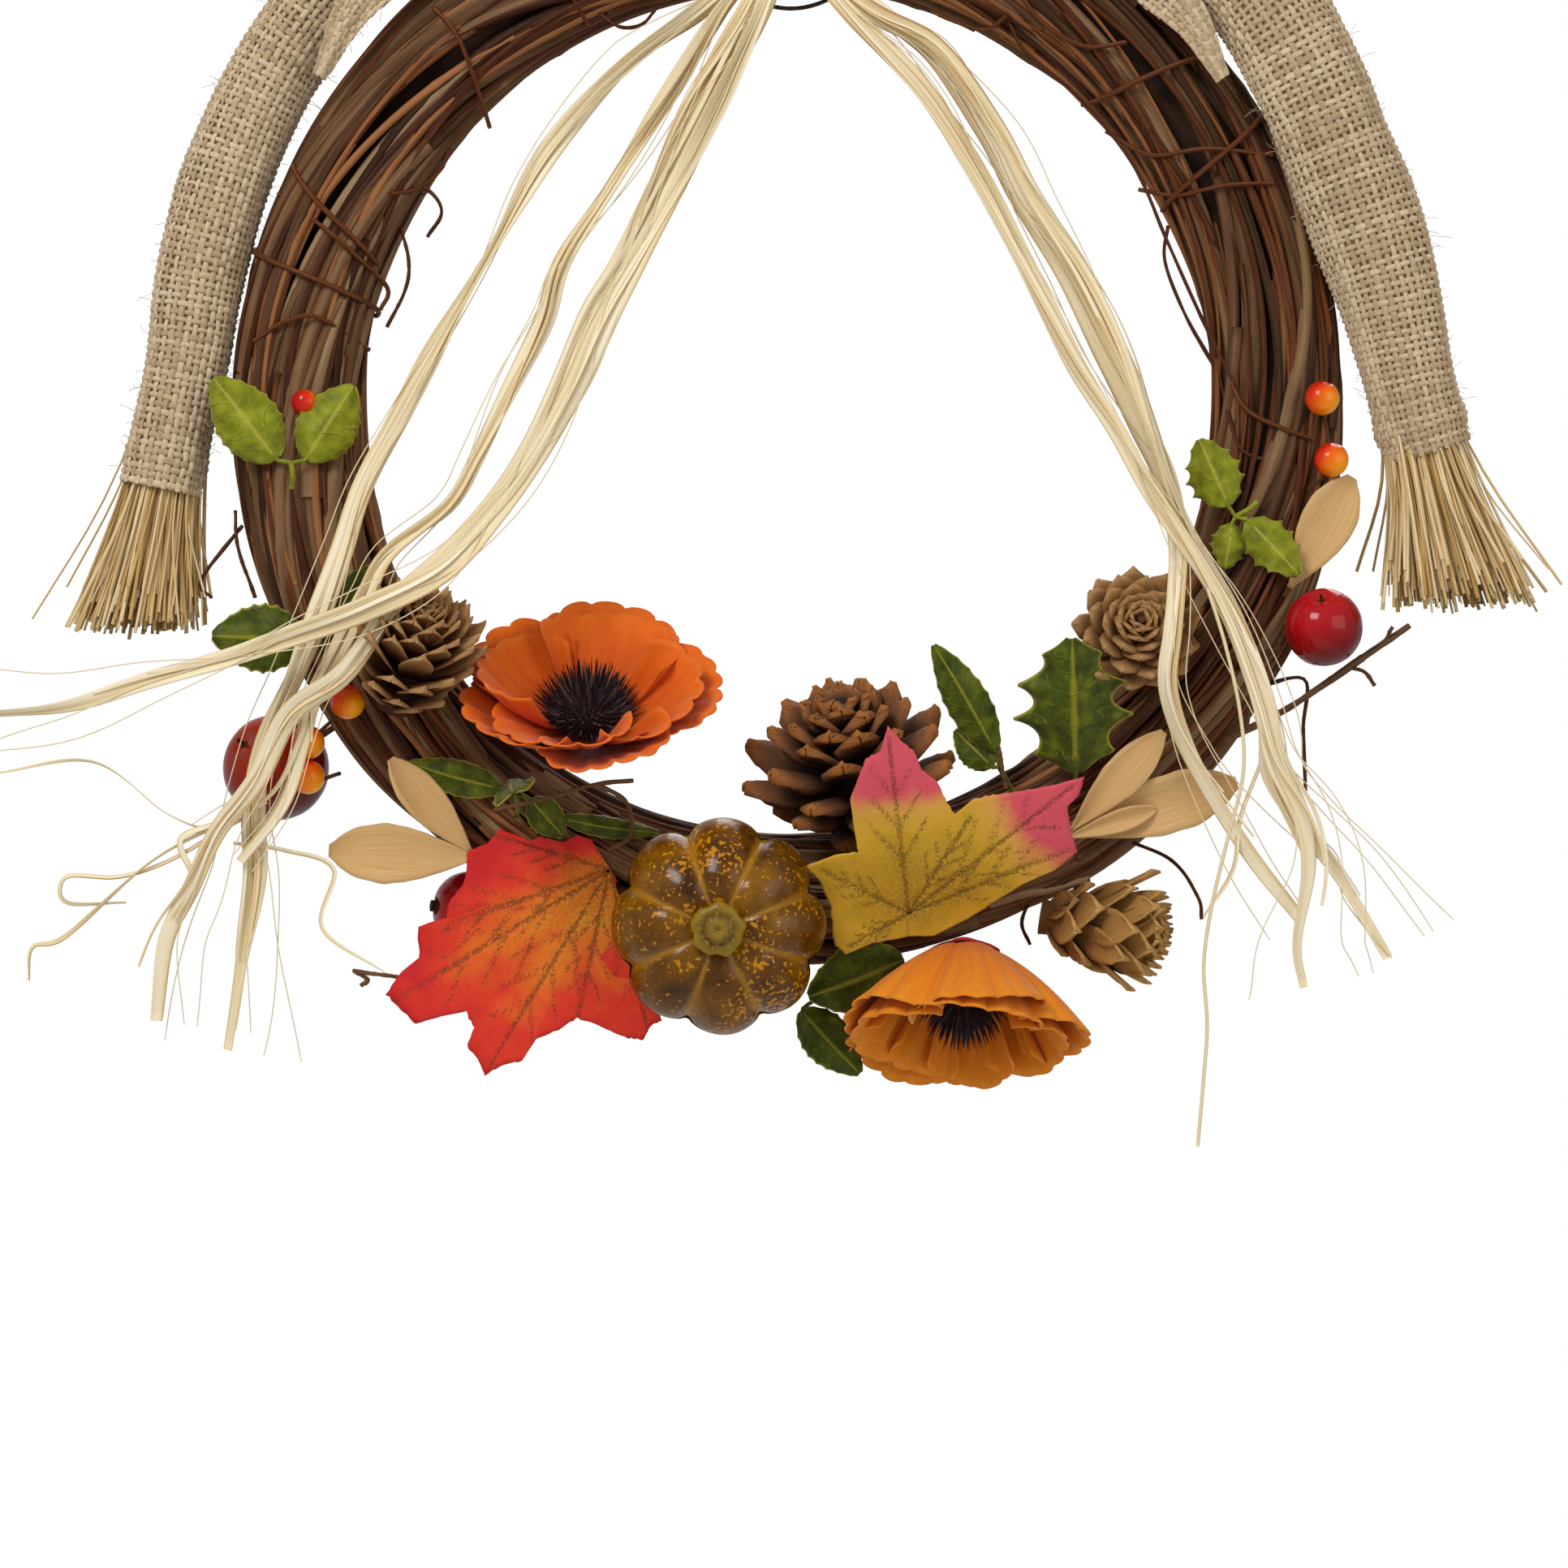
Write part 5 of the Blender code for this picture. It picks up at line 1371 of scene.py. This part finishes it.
def leaf_finish(name, stops, vein, edge):
    """A waxy leaf: mottled green with pale slanting side veins, midrib and edge."""
    made, tree, shader = finish_nodes(name, 0.5, 0.1)
    across, along = uv_parts(tree)
    place = coordinates(tree, "Object")
    mottled = ramp(tree, noisy(tree, place, 220, 4), stops)
    ripple = maths(tree, "MULTIPLY", noisy(tree, place, 120, 2), 1.6)
    straight = maths(tree, "SUBTRACT", maths(tree, "MULTIPLY", along, 0.2), maths(tree, "MULTIPLY", across, 1.1))
    slant = maths(tree, "ADD", straight, ripple)
    wave = maths(tree, "ABSOLUTE", maths(tree, "SUBTRACT", maths(tree, "FRACT", slant, 0), 0.5), 0)
    side_vein = ramp(tree, wave, ((0.0, "FFFFFF"), (0.06, "000000")))
    midrib = ramp(tree, across, ((0.03, "FFFFFF"), (0.10, "000000")))
    rim = ramp(tree, across, ((0.90, "000000"), (0.98, "FFFFFF")))
    colours = blended(tree, maths(tree, "MULTIPLY", side_vein, 0.2), mottled, vein)
    colours = blended(tree, maths(tree, "MULTIPLY", midrib, 0.55), colours, vein)
    colours = blended(tree, maths(tree, "MULTIPLY", rim, 0.7), colours, edge)
    tree.links.new(colours, shader.inputs["Base Color"])
    crinkle = maths(tree, "SUBTRACT", noisy(tree, place, 400), maths(tree, "MULTIPLY", side_vein, 0.5))
    bumped(tree, shader, crinkle, 0.4, 0.7)
    return made


def leaf_blade(pile, base, tip, width, bend, teeth, sharp, seed):
    """A leaf from base to tip, folded a little on its midrib, with teeth round its edge."""
    along = tip - base
    length = along.length
    across = along.cross(Vector((0, 1, 0))).normalized()
    up = across.cross(along).normalized()
    bow = noise.noise(Vector((seed, 0, 0)))

    def place(s, t):
        body = math.sin(math.pi * min(1.0, 0.03 + 0.95 * s**0.85)) ** 0.75
        spike = abs(math.sin(math.pi * (teeth * s + 0.5))) ** 0.6
        curl = Vector((0, -bend * math.sin(math.pi * s), 0))
        middle = base + along * s + curl + across * 0.05 * length * math.sin(math.pi * s) * bow
        half = width / 2 * body * (1 + sharp * (0.5 - spike))
        lift = 0.24 * width * abs(t) ** 1.2 * body * (0.6 + 0.5 * noise.noise(Vector((s * 2, seed, t))))
        lift += 1.5 * noise.noise(Vector((s * 5, t * 1.5, seed))) * abs(t)
        return middle + across * half * t + up * lift, (abs(t), s * length), 0.5

    curved_plate(pile, 60, 10, LEAF_THICKNESS, place)


def make_sprig(name, joint, finish, slot, stem_to, teeth, sharp, leaves):
    """Leaves on a short stem: each is (base, tip, width, bend) in mm from the joint."""
    pile = Pile()
    for k, (base, tip, width, bend) in enumerate(leaves):
        start = joint + Vector(base)
        end = joint + Vector(tip)
        leaf_blade(pile, start, end, width, bend, teeth, sharp, k * 3.3 + joint.x)
        stalk = smooth_route([joint, joint.lerp(start, 0.5), start, start.lerp(end, 0.2)], 12)
        tube(pile, stalk, 0.55, 6)
    reach = joint + Vector(stem_to)
    tube(pile, smooth_route([reach, reach.lerp(joint, 0.5) + Vector((0.5, -0.4, 0)), joint], 12), 0.75, 7)
    pile.made(f"sprig_{name}", finish, slot, f"leaf_sprig_{name}")


def make_sprigs():
    """Seven sprigs of green leaves, where the CAD sprigs are."""
    green = leaf_finish("leaf_green", ((0.3, "5C6008"), (0.55, "7E8410"), (0.8, "9C9E2E")), "B0A84A", "9C942A")
    dark = leaf_finish("leaf_dark", ((0.3, "303604"), (0.5, "444E06"), (0.75, "6A7010")), "A09A2A", "AEA22C")
    # Name, joint, slot, stem's foot, teeth, how sharp they are, and the leaves
    sprigs = (
        ("upper_left", spot(263.4, 1.5, 2.6), "leaf_green", (0, 0, -7), 8, 0.10, (
            ((-4, 0, 1), (-21, -1, 23), 18, 1.5), ((4, 0, 1), (17, -1, 21), 17, 1.5),
        )),
        ("left", spot(243.5, 8, 2.6), "leaf_dark", (4, 3, -5), 8, 0.10, (
            ((-4, 0, 0), (-29, -1, 1), 19, 1.5), ((4, -1, 2), (15, -1, 20), 13, 1),
        )),
        ("lower_left", spot(215.2, -6, 3), "leaf_dark", (0, 0, -7), 8, 0.10, (
            ((-4, -1, 1), (-29, -1, 8), 10, 1), ((4, 0, -2), (13, -1, -12), 10, 1),
            ((-1, -15, 3), (1, -34, 0), 13, 1), ((12, 0, -7), (39, -1, -11), 6, 1),
        )),
        ("right", spot(104, -9.5, 2.6), "leaf_green", (6, 0, 4), 5, 0.24, (
            ((-2, 0, 3), (-10, -1, 21), 15, 1), ((-1, 0, -2), (-3, -1, -14), 10, 1),
            ((3, -2.5, -1), (16.5, -7, -16), 13, 1),
        )),
        ("centre", spot(149.8, -21, 2.6), "leaf_dark", (6, 5.2, -13.5), 8, 0.10, (
            ((-1, 0, 4), (-18, -6, 33), 12, 1), ((-2, 0, 0), (-12, 3, 10), 10, 1),
        )),
        ("holly", spot(143.5, -4, 3.2), "leaf_dark", (-4, 3, -3), 4, 0.52, (
            ((0, -4, 5), (-2, -23, 41), 29, 1),
        )),
        ("bottom", spot(174, 22, -4), "leaf_dark", (-4, 0, 3), 8, 0.10, (
            ((15, -1, 5), (-11, -4, -5), 20, 2), ((-13, 0, -9), (3, -3, -26), 14, 1),
        )),
    )
    for name, joint, slot, stem_to, teeth, sharp, leaves in sprigs:
        make_sprig(name, joint, green if slot == "leaf_green" else dark, slot, stem_to, teeth, sharp, leaves)


def cone_finish(name, stops):
    """Dry woody scales, darker towards their bases inside the cone, which is painted shade, and paler towards their
    tips in their own colour.
    """
    made, tree, shader = finish_nodes(name, 0.75)
    streak = noisy(tree, coordinates(tree, "UV", (7, 0.8, 1)), 1.0)
    tone = weighted(tree, value_of(tree, "shade"), 0.8, streak, 0.35)
    tree.links.new(ramp(tree, tone, stops), shader.inputs["Base Color"])
    bumped(tree, shader, streak, 0.3, 0.6)
    return made


def make_cone(name, place, direction, radius, length, count, scale, finish, seed):
    """A pine cone of separate woody scales, in the spiral that real ones grow in.

    scale is (width, thickness, open, point): open 1 stands straight out, point 1 has a sharp tip.
    """
    side, up, out = basis(direction)
    width, thickness, openness, point = scale
    generator = random.Random(seed)
    pile = Pile()
    for k in range(count):
        share = (k + 0.5) / count
        turn = k * GOLDEN_ANGLE
        fullness = math.sin(math.pi * (0.12 + 0.84 * share)) ** 0.7
        around = side * math.cos(turn) + up * math.sin(turn)
        sideways = up * math.cos(turn) - side * math.sin(turn)
        lean = (openness * (1 - 0.75 * share) + generator.uniform(-0.06, 0.06)) * math.pi / 2
        way = around * math.sin(lean) + out * math.cos(lean)
        start = place + out * length * (share * 0.86 - 0.5) + around * radius * 0.16 * fullness
        reach = (radius * fullness / max(math.sin(lean), 0.45)) * generator.uniform(0.86, 1.0)
        reach = min(reach, length * 0.75 * (1.15 - share))
        wide = width * (0.55 + 0.45 * fullness) * generator.uniform(0.9, 1.1)

        # The shade value rises from a scale's base to its tip: the dark base is painted shade deep in the cone.
        def woody(s, t):
            tip = 1 - max(0.0, (s - 0.58) / 0.42) ** (2.2 - 1.2 * point)
            half = wide / 2 * (0.42 + 0.58 * min(1, s / 0.6)) * max(tip, 0.0) ** (0.5 + 0.4 * point) + 0.1
            where = start + way * reach * s + sideways * half * t
            where += out * (-0.22 * wide * t * t * s) + out * 0.12 * reach * s * s
            return where, (t + k, s * reach), min(1.0, s**1.5)

        curved_plate(pile, 7, 6, thickness * (0.8 + 0.4 * generator.random()), woody)
    # The axis takes the darkest tone: painted shade deep inside the cone.
    axis = [place - out * length * 0.5, place, place + out * length * 0.42]
    tube(pile, smooth_route(axis, 12), lambda s, _: radius * 0.3 * (1.05 - 0.8 * s), 10, up=side, shade=0.05)
    pile.made(name, finish, "cone_scales", f"pine_{name}")


def make_cones():
    """Three small cones and the big open one."""
    small = cone_finish("cone_scales", ((0.12, "3A2212"), (0.45, "785030"), (0.8, "9A7044"), (1.0, "B48C5C")))
    big = cone_finish("big_cone_scales", ((0.1, "24160E"), (0.45, "4E3424"), (0.8, "744A2C"), (1.0, "A0622A")))
    pale = cone_finish("pale_cone_scales", ((0.12, "4A2E16"), (0.45, "8A6032"), (0.8, "A87C42"), (1.0, "BC9256")))
    cones = (
        ("left", spot(236.5, -13.5, 16.5), (0.30, -0.55, 0.75), 17.5, 38, 80, (10, 0.6, 0.72, 0.3), small),
        ("big", spot(170.4, -38, 1), (-0.15, -0.55, 0.82), 30, 42, 50, (12.5, 2.2, 0.95, 0.05), big),
        ("right", spot(123.2, -22.5, 13), (0.05, -0.95, 0.25), 17.5, 28, 64, (9, 0.7, 0.85, 0.2), small),
        ("lower", spot(148.6, 31.5, 4), (1.0, -0.1, -0.16), 15.5, 37, 58, (11.5, 0.7, 0.55, 0.45), pale),
    )
    for seed, (name, *measures) in enumerate(cones, 1):
        make_cone(f"cone_{name}", *measures, seed)


def berry_finish(name, stops, roughness=0.16):
    """A lacquered berry, tinted from one side to the other by its shade value, which is painted light."""
    made, tree, shader = finish_nodes(name, roughness, coat=0.2)
    shader.inputs["Coat Roughness"].default_value = 0.06
    cloudy = maths(tree, "MULTIPLY", noisy(tree, coordinates(tree, "Object"), 160, 3), 0.3)
    tone = maths(tree, "ADD", maths(tree, "MULTIPLY", value_of(tree, "shade"), 0.85), cloudy)
    tree.links.new(ramp(tree, tone, stops), shader.inputs["Base Color"])
    return made


def add_berry(pile, centre, radius, direction, warm=(0.6, -0.45, -0.55)):
    """A berry with a dimple at its eye; its shade is painted light, lighter on the side that faces warm and darker on
    the other.
    """
    side, up, out = basis(direction)
    # Painted light: each point's shade is how far it faces warm, the side painted as lit.
    lit = Vector(warm).normalized()
    rows = 30

    def place(j, turn):
        bend = math.pi * j / rows
        way = (side * math.cos(turn) + up * math.sin(turn)) * math.sin(bend) + out * math.cos(bend)
        dimple = 0.14 * math.exp(-((bend / 0.28) ** 2))
        lump = 0.012 * noise.noise(way * 2.3 + centre * 0.1)
        return centre + way * radius * (1 - dimple + lump), (0, 0), 0.5 + 0.5 * way.dot(lit)

    round_skin(pile, rows + 1, 44, place)


def add_eye(pile, centre, radius, direction, size):
    """The dry dark eye of a berry: a button with short pointed sepals."""
    side, up, out = basis(direction)
    top = centre + out * radius * 0.86
    tube(pile, [top, top + out * radius * 0.12, top + out * radius * 0.2], size * 0.5, 12, up=side, shade=0.2)
    for k in range(6):
        turn = TWO_PI * k / 6
        around = (side * math.cos(turn) + up * math.sin(turn)) * size
        route = [top + around * 0.3, top + around * 0.9 + out * 0.3, top + around * 1.4 - out * 0.2]
        tube(pile, smooth_route(route, 6), lambda s, _: size * 0.22 * (1.1 - s), 5, up=side, shade=0.3)


def make_berries(stem_finish):
    """Three big berries and two sprays of small ones on wire stems."""
    deep = berry_finish("berry_red", ((0.2, "3A0408"), (0.5, "74080E"), (0.9, "A81018")))
    brown = berry_finish("berry_brown_red", ((0.2, "2E0404"), (0.55, "640C0A"), (0.95, "96280E")), 0.2)
    warm = berry_finish("berry_orange", ((0.2, "AC0A04"), (0.52, "D42E04"), (0.82, "E87406"), (1.0, "F4A010")))
    mid_plane = -HALF_DEPTH
    # Name, place, radius, the way its eye faces, the eye's share of its radius, finish, and its stem if seen
    seen_stem = ((134, -19, -66), (125, -18, -69), (117, -15, -68))
    big = (
        ("left", spot(235.1, 37.3, mid_plane), 14.6, (-0.5, -0.5, 0.4), 0.08, brown, None),
        ("right", spot(112.6, 22.5, 5.5), 10.6, (-0.1, -0.5, 0.6), 0.08, deep, seen_stem),
        ("lower", spot(212.5, 28.2, mid_plane + 2), 10.5, (-0.95, -0.3, 0.1), 0.3, deep, None),
    )
    for name, place, radius, eye, eye_share, finish, stem in big:
        pile = Pile()
        # The big berries are painted as lit from the upper left and front.
        add_berry(pile, place, radius, eye, (-0.4, -0.5, 0.6))
        pile.made(f"berry_{name}", finish, "berry_red", f"big_berry_{name}")
        dry = Pile()
        add_eye(dry, place, radius, eye, radius * eye_share)
        if stem:
            tube(dry, smooth_route(stem, 20), 1.0, 7, shade=0.3)
        else:
            inward = Vector((-place.x, 0, -place.z)).normalized()
            path = [place + inward * step for step in (radius * 0.95, radius + 6, radius + 13)]
            tube(dry, smooth_route(path, 16), 0.9, 7, shade=0.3)
        dry.made(f"berry_{name}_stem", stem_finish, "twig_bark")
    small_radius = 4.7
    small_eye = (0.2, -0.3, 0.9)
    left = (spot(236, 9.6, 5.5), spot(235, 25, 3), spot(232.3, 30.5, 4))
    right = (spot(89.3, 10, 5.5), spot(95.8, 13.3, 5.5))
    for name, places, stub in (("left", left, (9, -3, 2)), ("right", right, (-6, 1, -7))):
        pile = Pile()
        for place in places:
            add_berry(pile, place, small_radius, small_eye)
        pile.made(f"small_{name}_fruit", warm, "berry_orange", f"small_berries_{name}")
        wires = Pile()
        route = [place + Vector((0, 2, -1)) for place in places]
        route.append(route[-1] + Vector(stub))
        tube(wires, smooth_route(route, 40), 0.55, 6, shade=0.3)
        wires.made(f"small_{name}_stems", stem_finish, "twig_bark")
    extra = Pile()
    add_berry(extra, Vector((-132, -15, 1)), 3.6, small_eye, (1, 0.6, 0))
    extra.made("small_extra_fruit", warm, "berry_orange")


def make_curl(name, joint, lobes, finish, fray):
    """A wood shaving: each lobe is (start, end, width, rise, cup, roll), an oval strip that arches and twists."""
    pile = Pile()
    for k, (first, last, width, rise, cup, roll) in enumerate(lobes):
        start = joint + Vector(first)
        along = joint + Vector(last) - start
        across = along.cross(Vector((0, 1, 0))).normalized()

        def place(s, t):
            spread = max(0.12, math.sin(math.pi * min(max(s, 0.02), 0.985) ** 1.45) ** 0.6)
            ragged = 1 + 0.05 * noise.noise(Vector((s * 9, k, fray)))
            turn = roll * (s - 0.3)
            lean = across * math.cos(turn) + FORWARD * math.sin(turn)
            middle = start + along * s + FORWARD * rise * math.sin(math.pi * s)
            point = middle + lean * width / 2 * spread * ragged * t + FORWARD * cup * width * spread * t * t
            return point, (t * width, s * along.length), 0.5

        curved_plate(pile, 30, 8, 0.6, place)
    pile.made(f"shaving_{name}", finish, "wood_shaving", f"wood_curl_{name}")


def make_curls():
    """Three pale shavings: two folded ones low on the ring and one at the right side."""
    made, tree, shader = finish_nodes("wood_shaving", 0.65, 0.15)
    grain = noisy(tree, coordinates(tree, "UV", (0.9, 0.06, 1)), 1.0, 5)
    flecks = noisy(tree, coordinates(tree, "UV", (6, 0.9, 1)), 1.0, 2)
    tone = weighted(tree, grain, 0.7, flecks, 0.3)
    tinted = ramp(tree, tone, ((0.3, "BC905A"), (0.5, "C8A068"), (0.7, "D2AE7A")))
    tree.links.new(tinted, shader.inputs["Base Color"])
    bumped(tree, shader, flecks, 0.06, 0.3)
    make_curl("left", spot(213.5, 14, 2.2), (
        ((-3, 0, 1), (-43, 0, 3), 16, 2, 0.12, 0.2),
        ((-4, 1, 2), (-26, -3, 28), 11, 2, 0.25, 0.9),
    ), made, 1)
    make_curl("right", spot(140, 11, 2.2), (
        ((-18, 0, -5), (28, -3, 9), 16, 3, 0.15, 0.3),
        ((-17, -1, -4), (8, -4, 23), 11, 2, 0.25, -0.9),
        ((-18, -2, -6), (6, -5, 2), 6, 3, 0.3, 0.4),
    ), made, 4)
    make_curl("side", spot(103.3, 15.5, 2), (((-10, 0, -15), (7, -1, 15), 15, 2, 0.12, 0.5),), made, 7)


def make_twigs(twig_bark):
    """The forked twig at the right, the one under the yellow leaf, and a few fine ones."""

    def add_twig(pile, start, steps, count, size, sides, shade):
        route = smooth_route([start + Vector(step) for step in steps], count)
        tube(pile, route, bark_radius(*size), sides, shade=shade)

    start = spot(127.5, 15, -2)
    forked = Pile()
    add_twig(forked, start, ((0, 0, 0), (16, 0, 8), (34, 1, 20), (51, 4, 31.5)), 60, (0.95, 3, 0.2), 8, 0.5)
    for steps in (
        ((6, 0, 3), (8, -2, 14), (14, -2, 19)),
        ((34, 1, 20), (38, 0, 19), (41, -1, 15)),
        ((44, 3, 27), (46, 1, 31)),
    ):
        add_twig(forked, start, steps, 24, (0.55, 5, 0.25), 6, 0.5)
    forked.made("forked_twig", twig_bark, "twig_bark", "twig_right")
    low = Pile()
    steps = ((0, 0, 0), (10, -1, 3), (18, -0.6, 4.2), (27, 0, 7.2))
    add_twig(low, spot(158, 11.8, 1.6), steps, 40, (0.95, 8, 0.2), 8, 0.8)
    low.made("lower_twig", twig_bark, "twig_bark", "twig_lower")
    fine = Pile()
    for k, (radius, route) in enumerate((
        (0.6, ((-80, -20, -110), (-66, -26, -107), (-52, -28, -103), (-42, -27, -102))),
        (0.6, ((-52, -28, -103), (-44, -24, -108), (-43, -22, -117), (-49, -20, -121))),
        (0.6, ((-119, -12, -154), (-111, -14, -155), (-104, -14, -156))),
        (0.6, ((-119, -12, -154), (-115, -12, -156.5), (-117, -12, -158))),
        (0.6, ((57, -22, -93), (58, -20, -99), (59, -18, -104))),
        (1.5, ((20, -18, -146), (32, -19, -143.5), (44, -18, -143), (52, -17, -140))),
    )):
        tube(fine, smooth_route(route, 30), bark_radius(radius, k * 2.1, 0.25), 7, shade=0.55)
    fine.made("fine_twigs", twig_bark, "twig_bark")


def make_raffia_knot(straw_gold):
    """The raffia knot: strips wound round a bundle in front of the ring's top."""
    low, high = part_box("raffia_knot")
    centre = ((low + high) / 2 - CENTRE) / MM
    half = (high - low) / MM / 2
    pile = Pile()
    for k in range(9):
        tilt = -0.7 + 1.4 * k / 8
        path = []
        for i in range(40):
            turn = TWO_PI * i / 40
            y = math.cos(turn) * (half.y - 0.6)
            z = math.sin(turn) * (half.z - 0.6)
            x = tilt * half.x * 0.9 + 2.2 * math.sin(turn + k)
            path.append(centre + Vector((x, y, z)) * (1 - 0.12 * abs(tilt)))
        rings = []
        for point in path:
            outward = Vector((0, point.y - centre.y, point.z - centre.z)).normalized()
            for across, rise in ((-1, 0), (-0.4, 0.3), (0.3, 0.1), (1, 0), (0.3, -0.4), (-0.4, -0.4)):
                rings.append(point + Vector((across * 2.4, 0, 0)) + outward * rise)
        strip_uvs = [(n % 6 / 6 + k, n // 6) for n in range(len(rings))]
        pile.add(rings, stitch(40, 6, closed=True), strip_uvs, [0.35 + 0.05 * (k % 5)] * len(rings))
    reach = Vector((half.x * 0.97, 0, 0))
    heart = smooth_route([centre - reach, centre, centre + reach], 24)
    fat = min(half.y, half.z) - 0.9

    def girth(s, angle):
        return fat * (0.9 - 0.25 * abs(2 * s - 1) + 0.1 * math.sin(9 * angle + 5 * s))

    tube(pile, heart, girth, 48, shade=0.3)
    for clock in (-4.6, 4.6):
        # A strip once round the ring beside the knot
        wrap = []
        for i in range(101):
            swayed = clock * (1 + 0.15 * math.sin(i / 4))
            wrap.append(section(swayed, 3.6 * i, SPREAD + 1.2, HALF_DEPTH + 1.2))
        ribbon(pile, wrap, 4.2, clock, 0.0, 0.55)
    pile.made("raffia_wrapping", straw_gold, "raffia", "raffia_knot")


make_studio()
TWIG_BARK = make_vine_ring()
make_hanger()
BURLAP = burlap_finishes()
STRAW = fibre_material(
    "straw", ((0.12, "80602F"), (0.38, "BE9A5E"), (0.62, "D8BC88"), (0.9, "ECDAB2")), (3, 0.06, 1), 0.7, 0.2,
)
make_arm(-1, BURLAP, STRAW)
make_arm(1, BURLAP, STRAW)
make_bow(BURLAP)
RAFFIA_FINISH = fibre_material(
    "raffia", ((0.2, "A47A48"), (0.38, "CDAE7C"), (0.56, "E2CFA4"), (0.8, "F0E4C8")), (11, 0.02, 1), 0.6, 0.04,
)
make_raffia(RAFFIA_FINISH)
make_raffia_knot(RAFFIA_FINISH)
make_pumpkin()
make_flowers()
make_maple_leaves()
make_sprigs()
make_cones()
make_berries(TWIG_BARK)
make_curls()
make_twigs(TWIG_BARK)
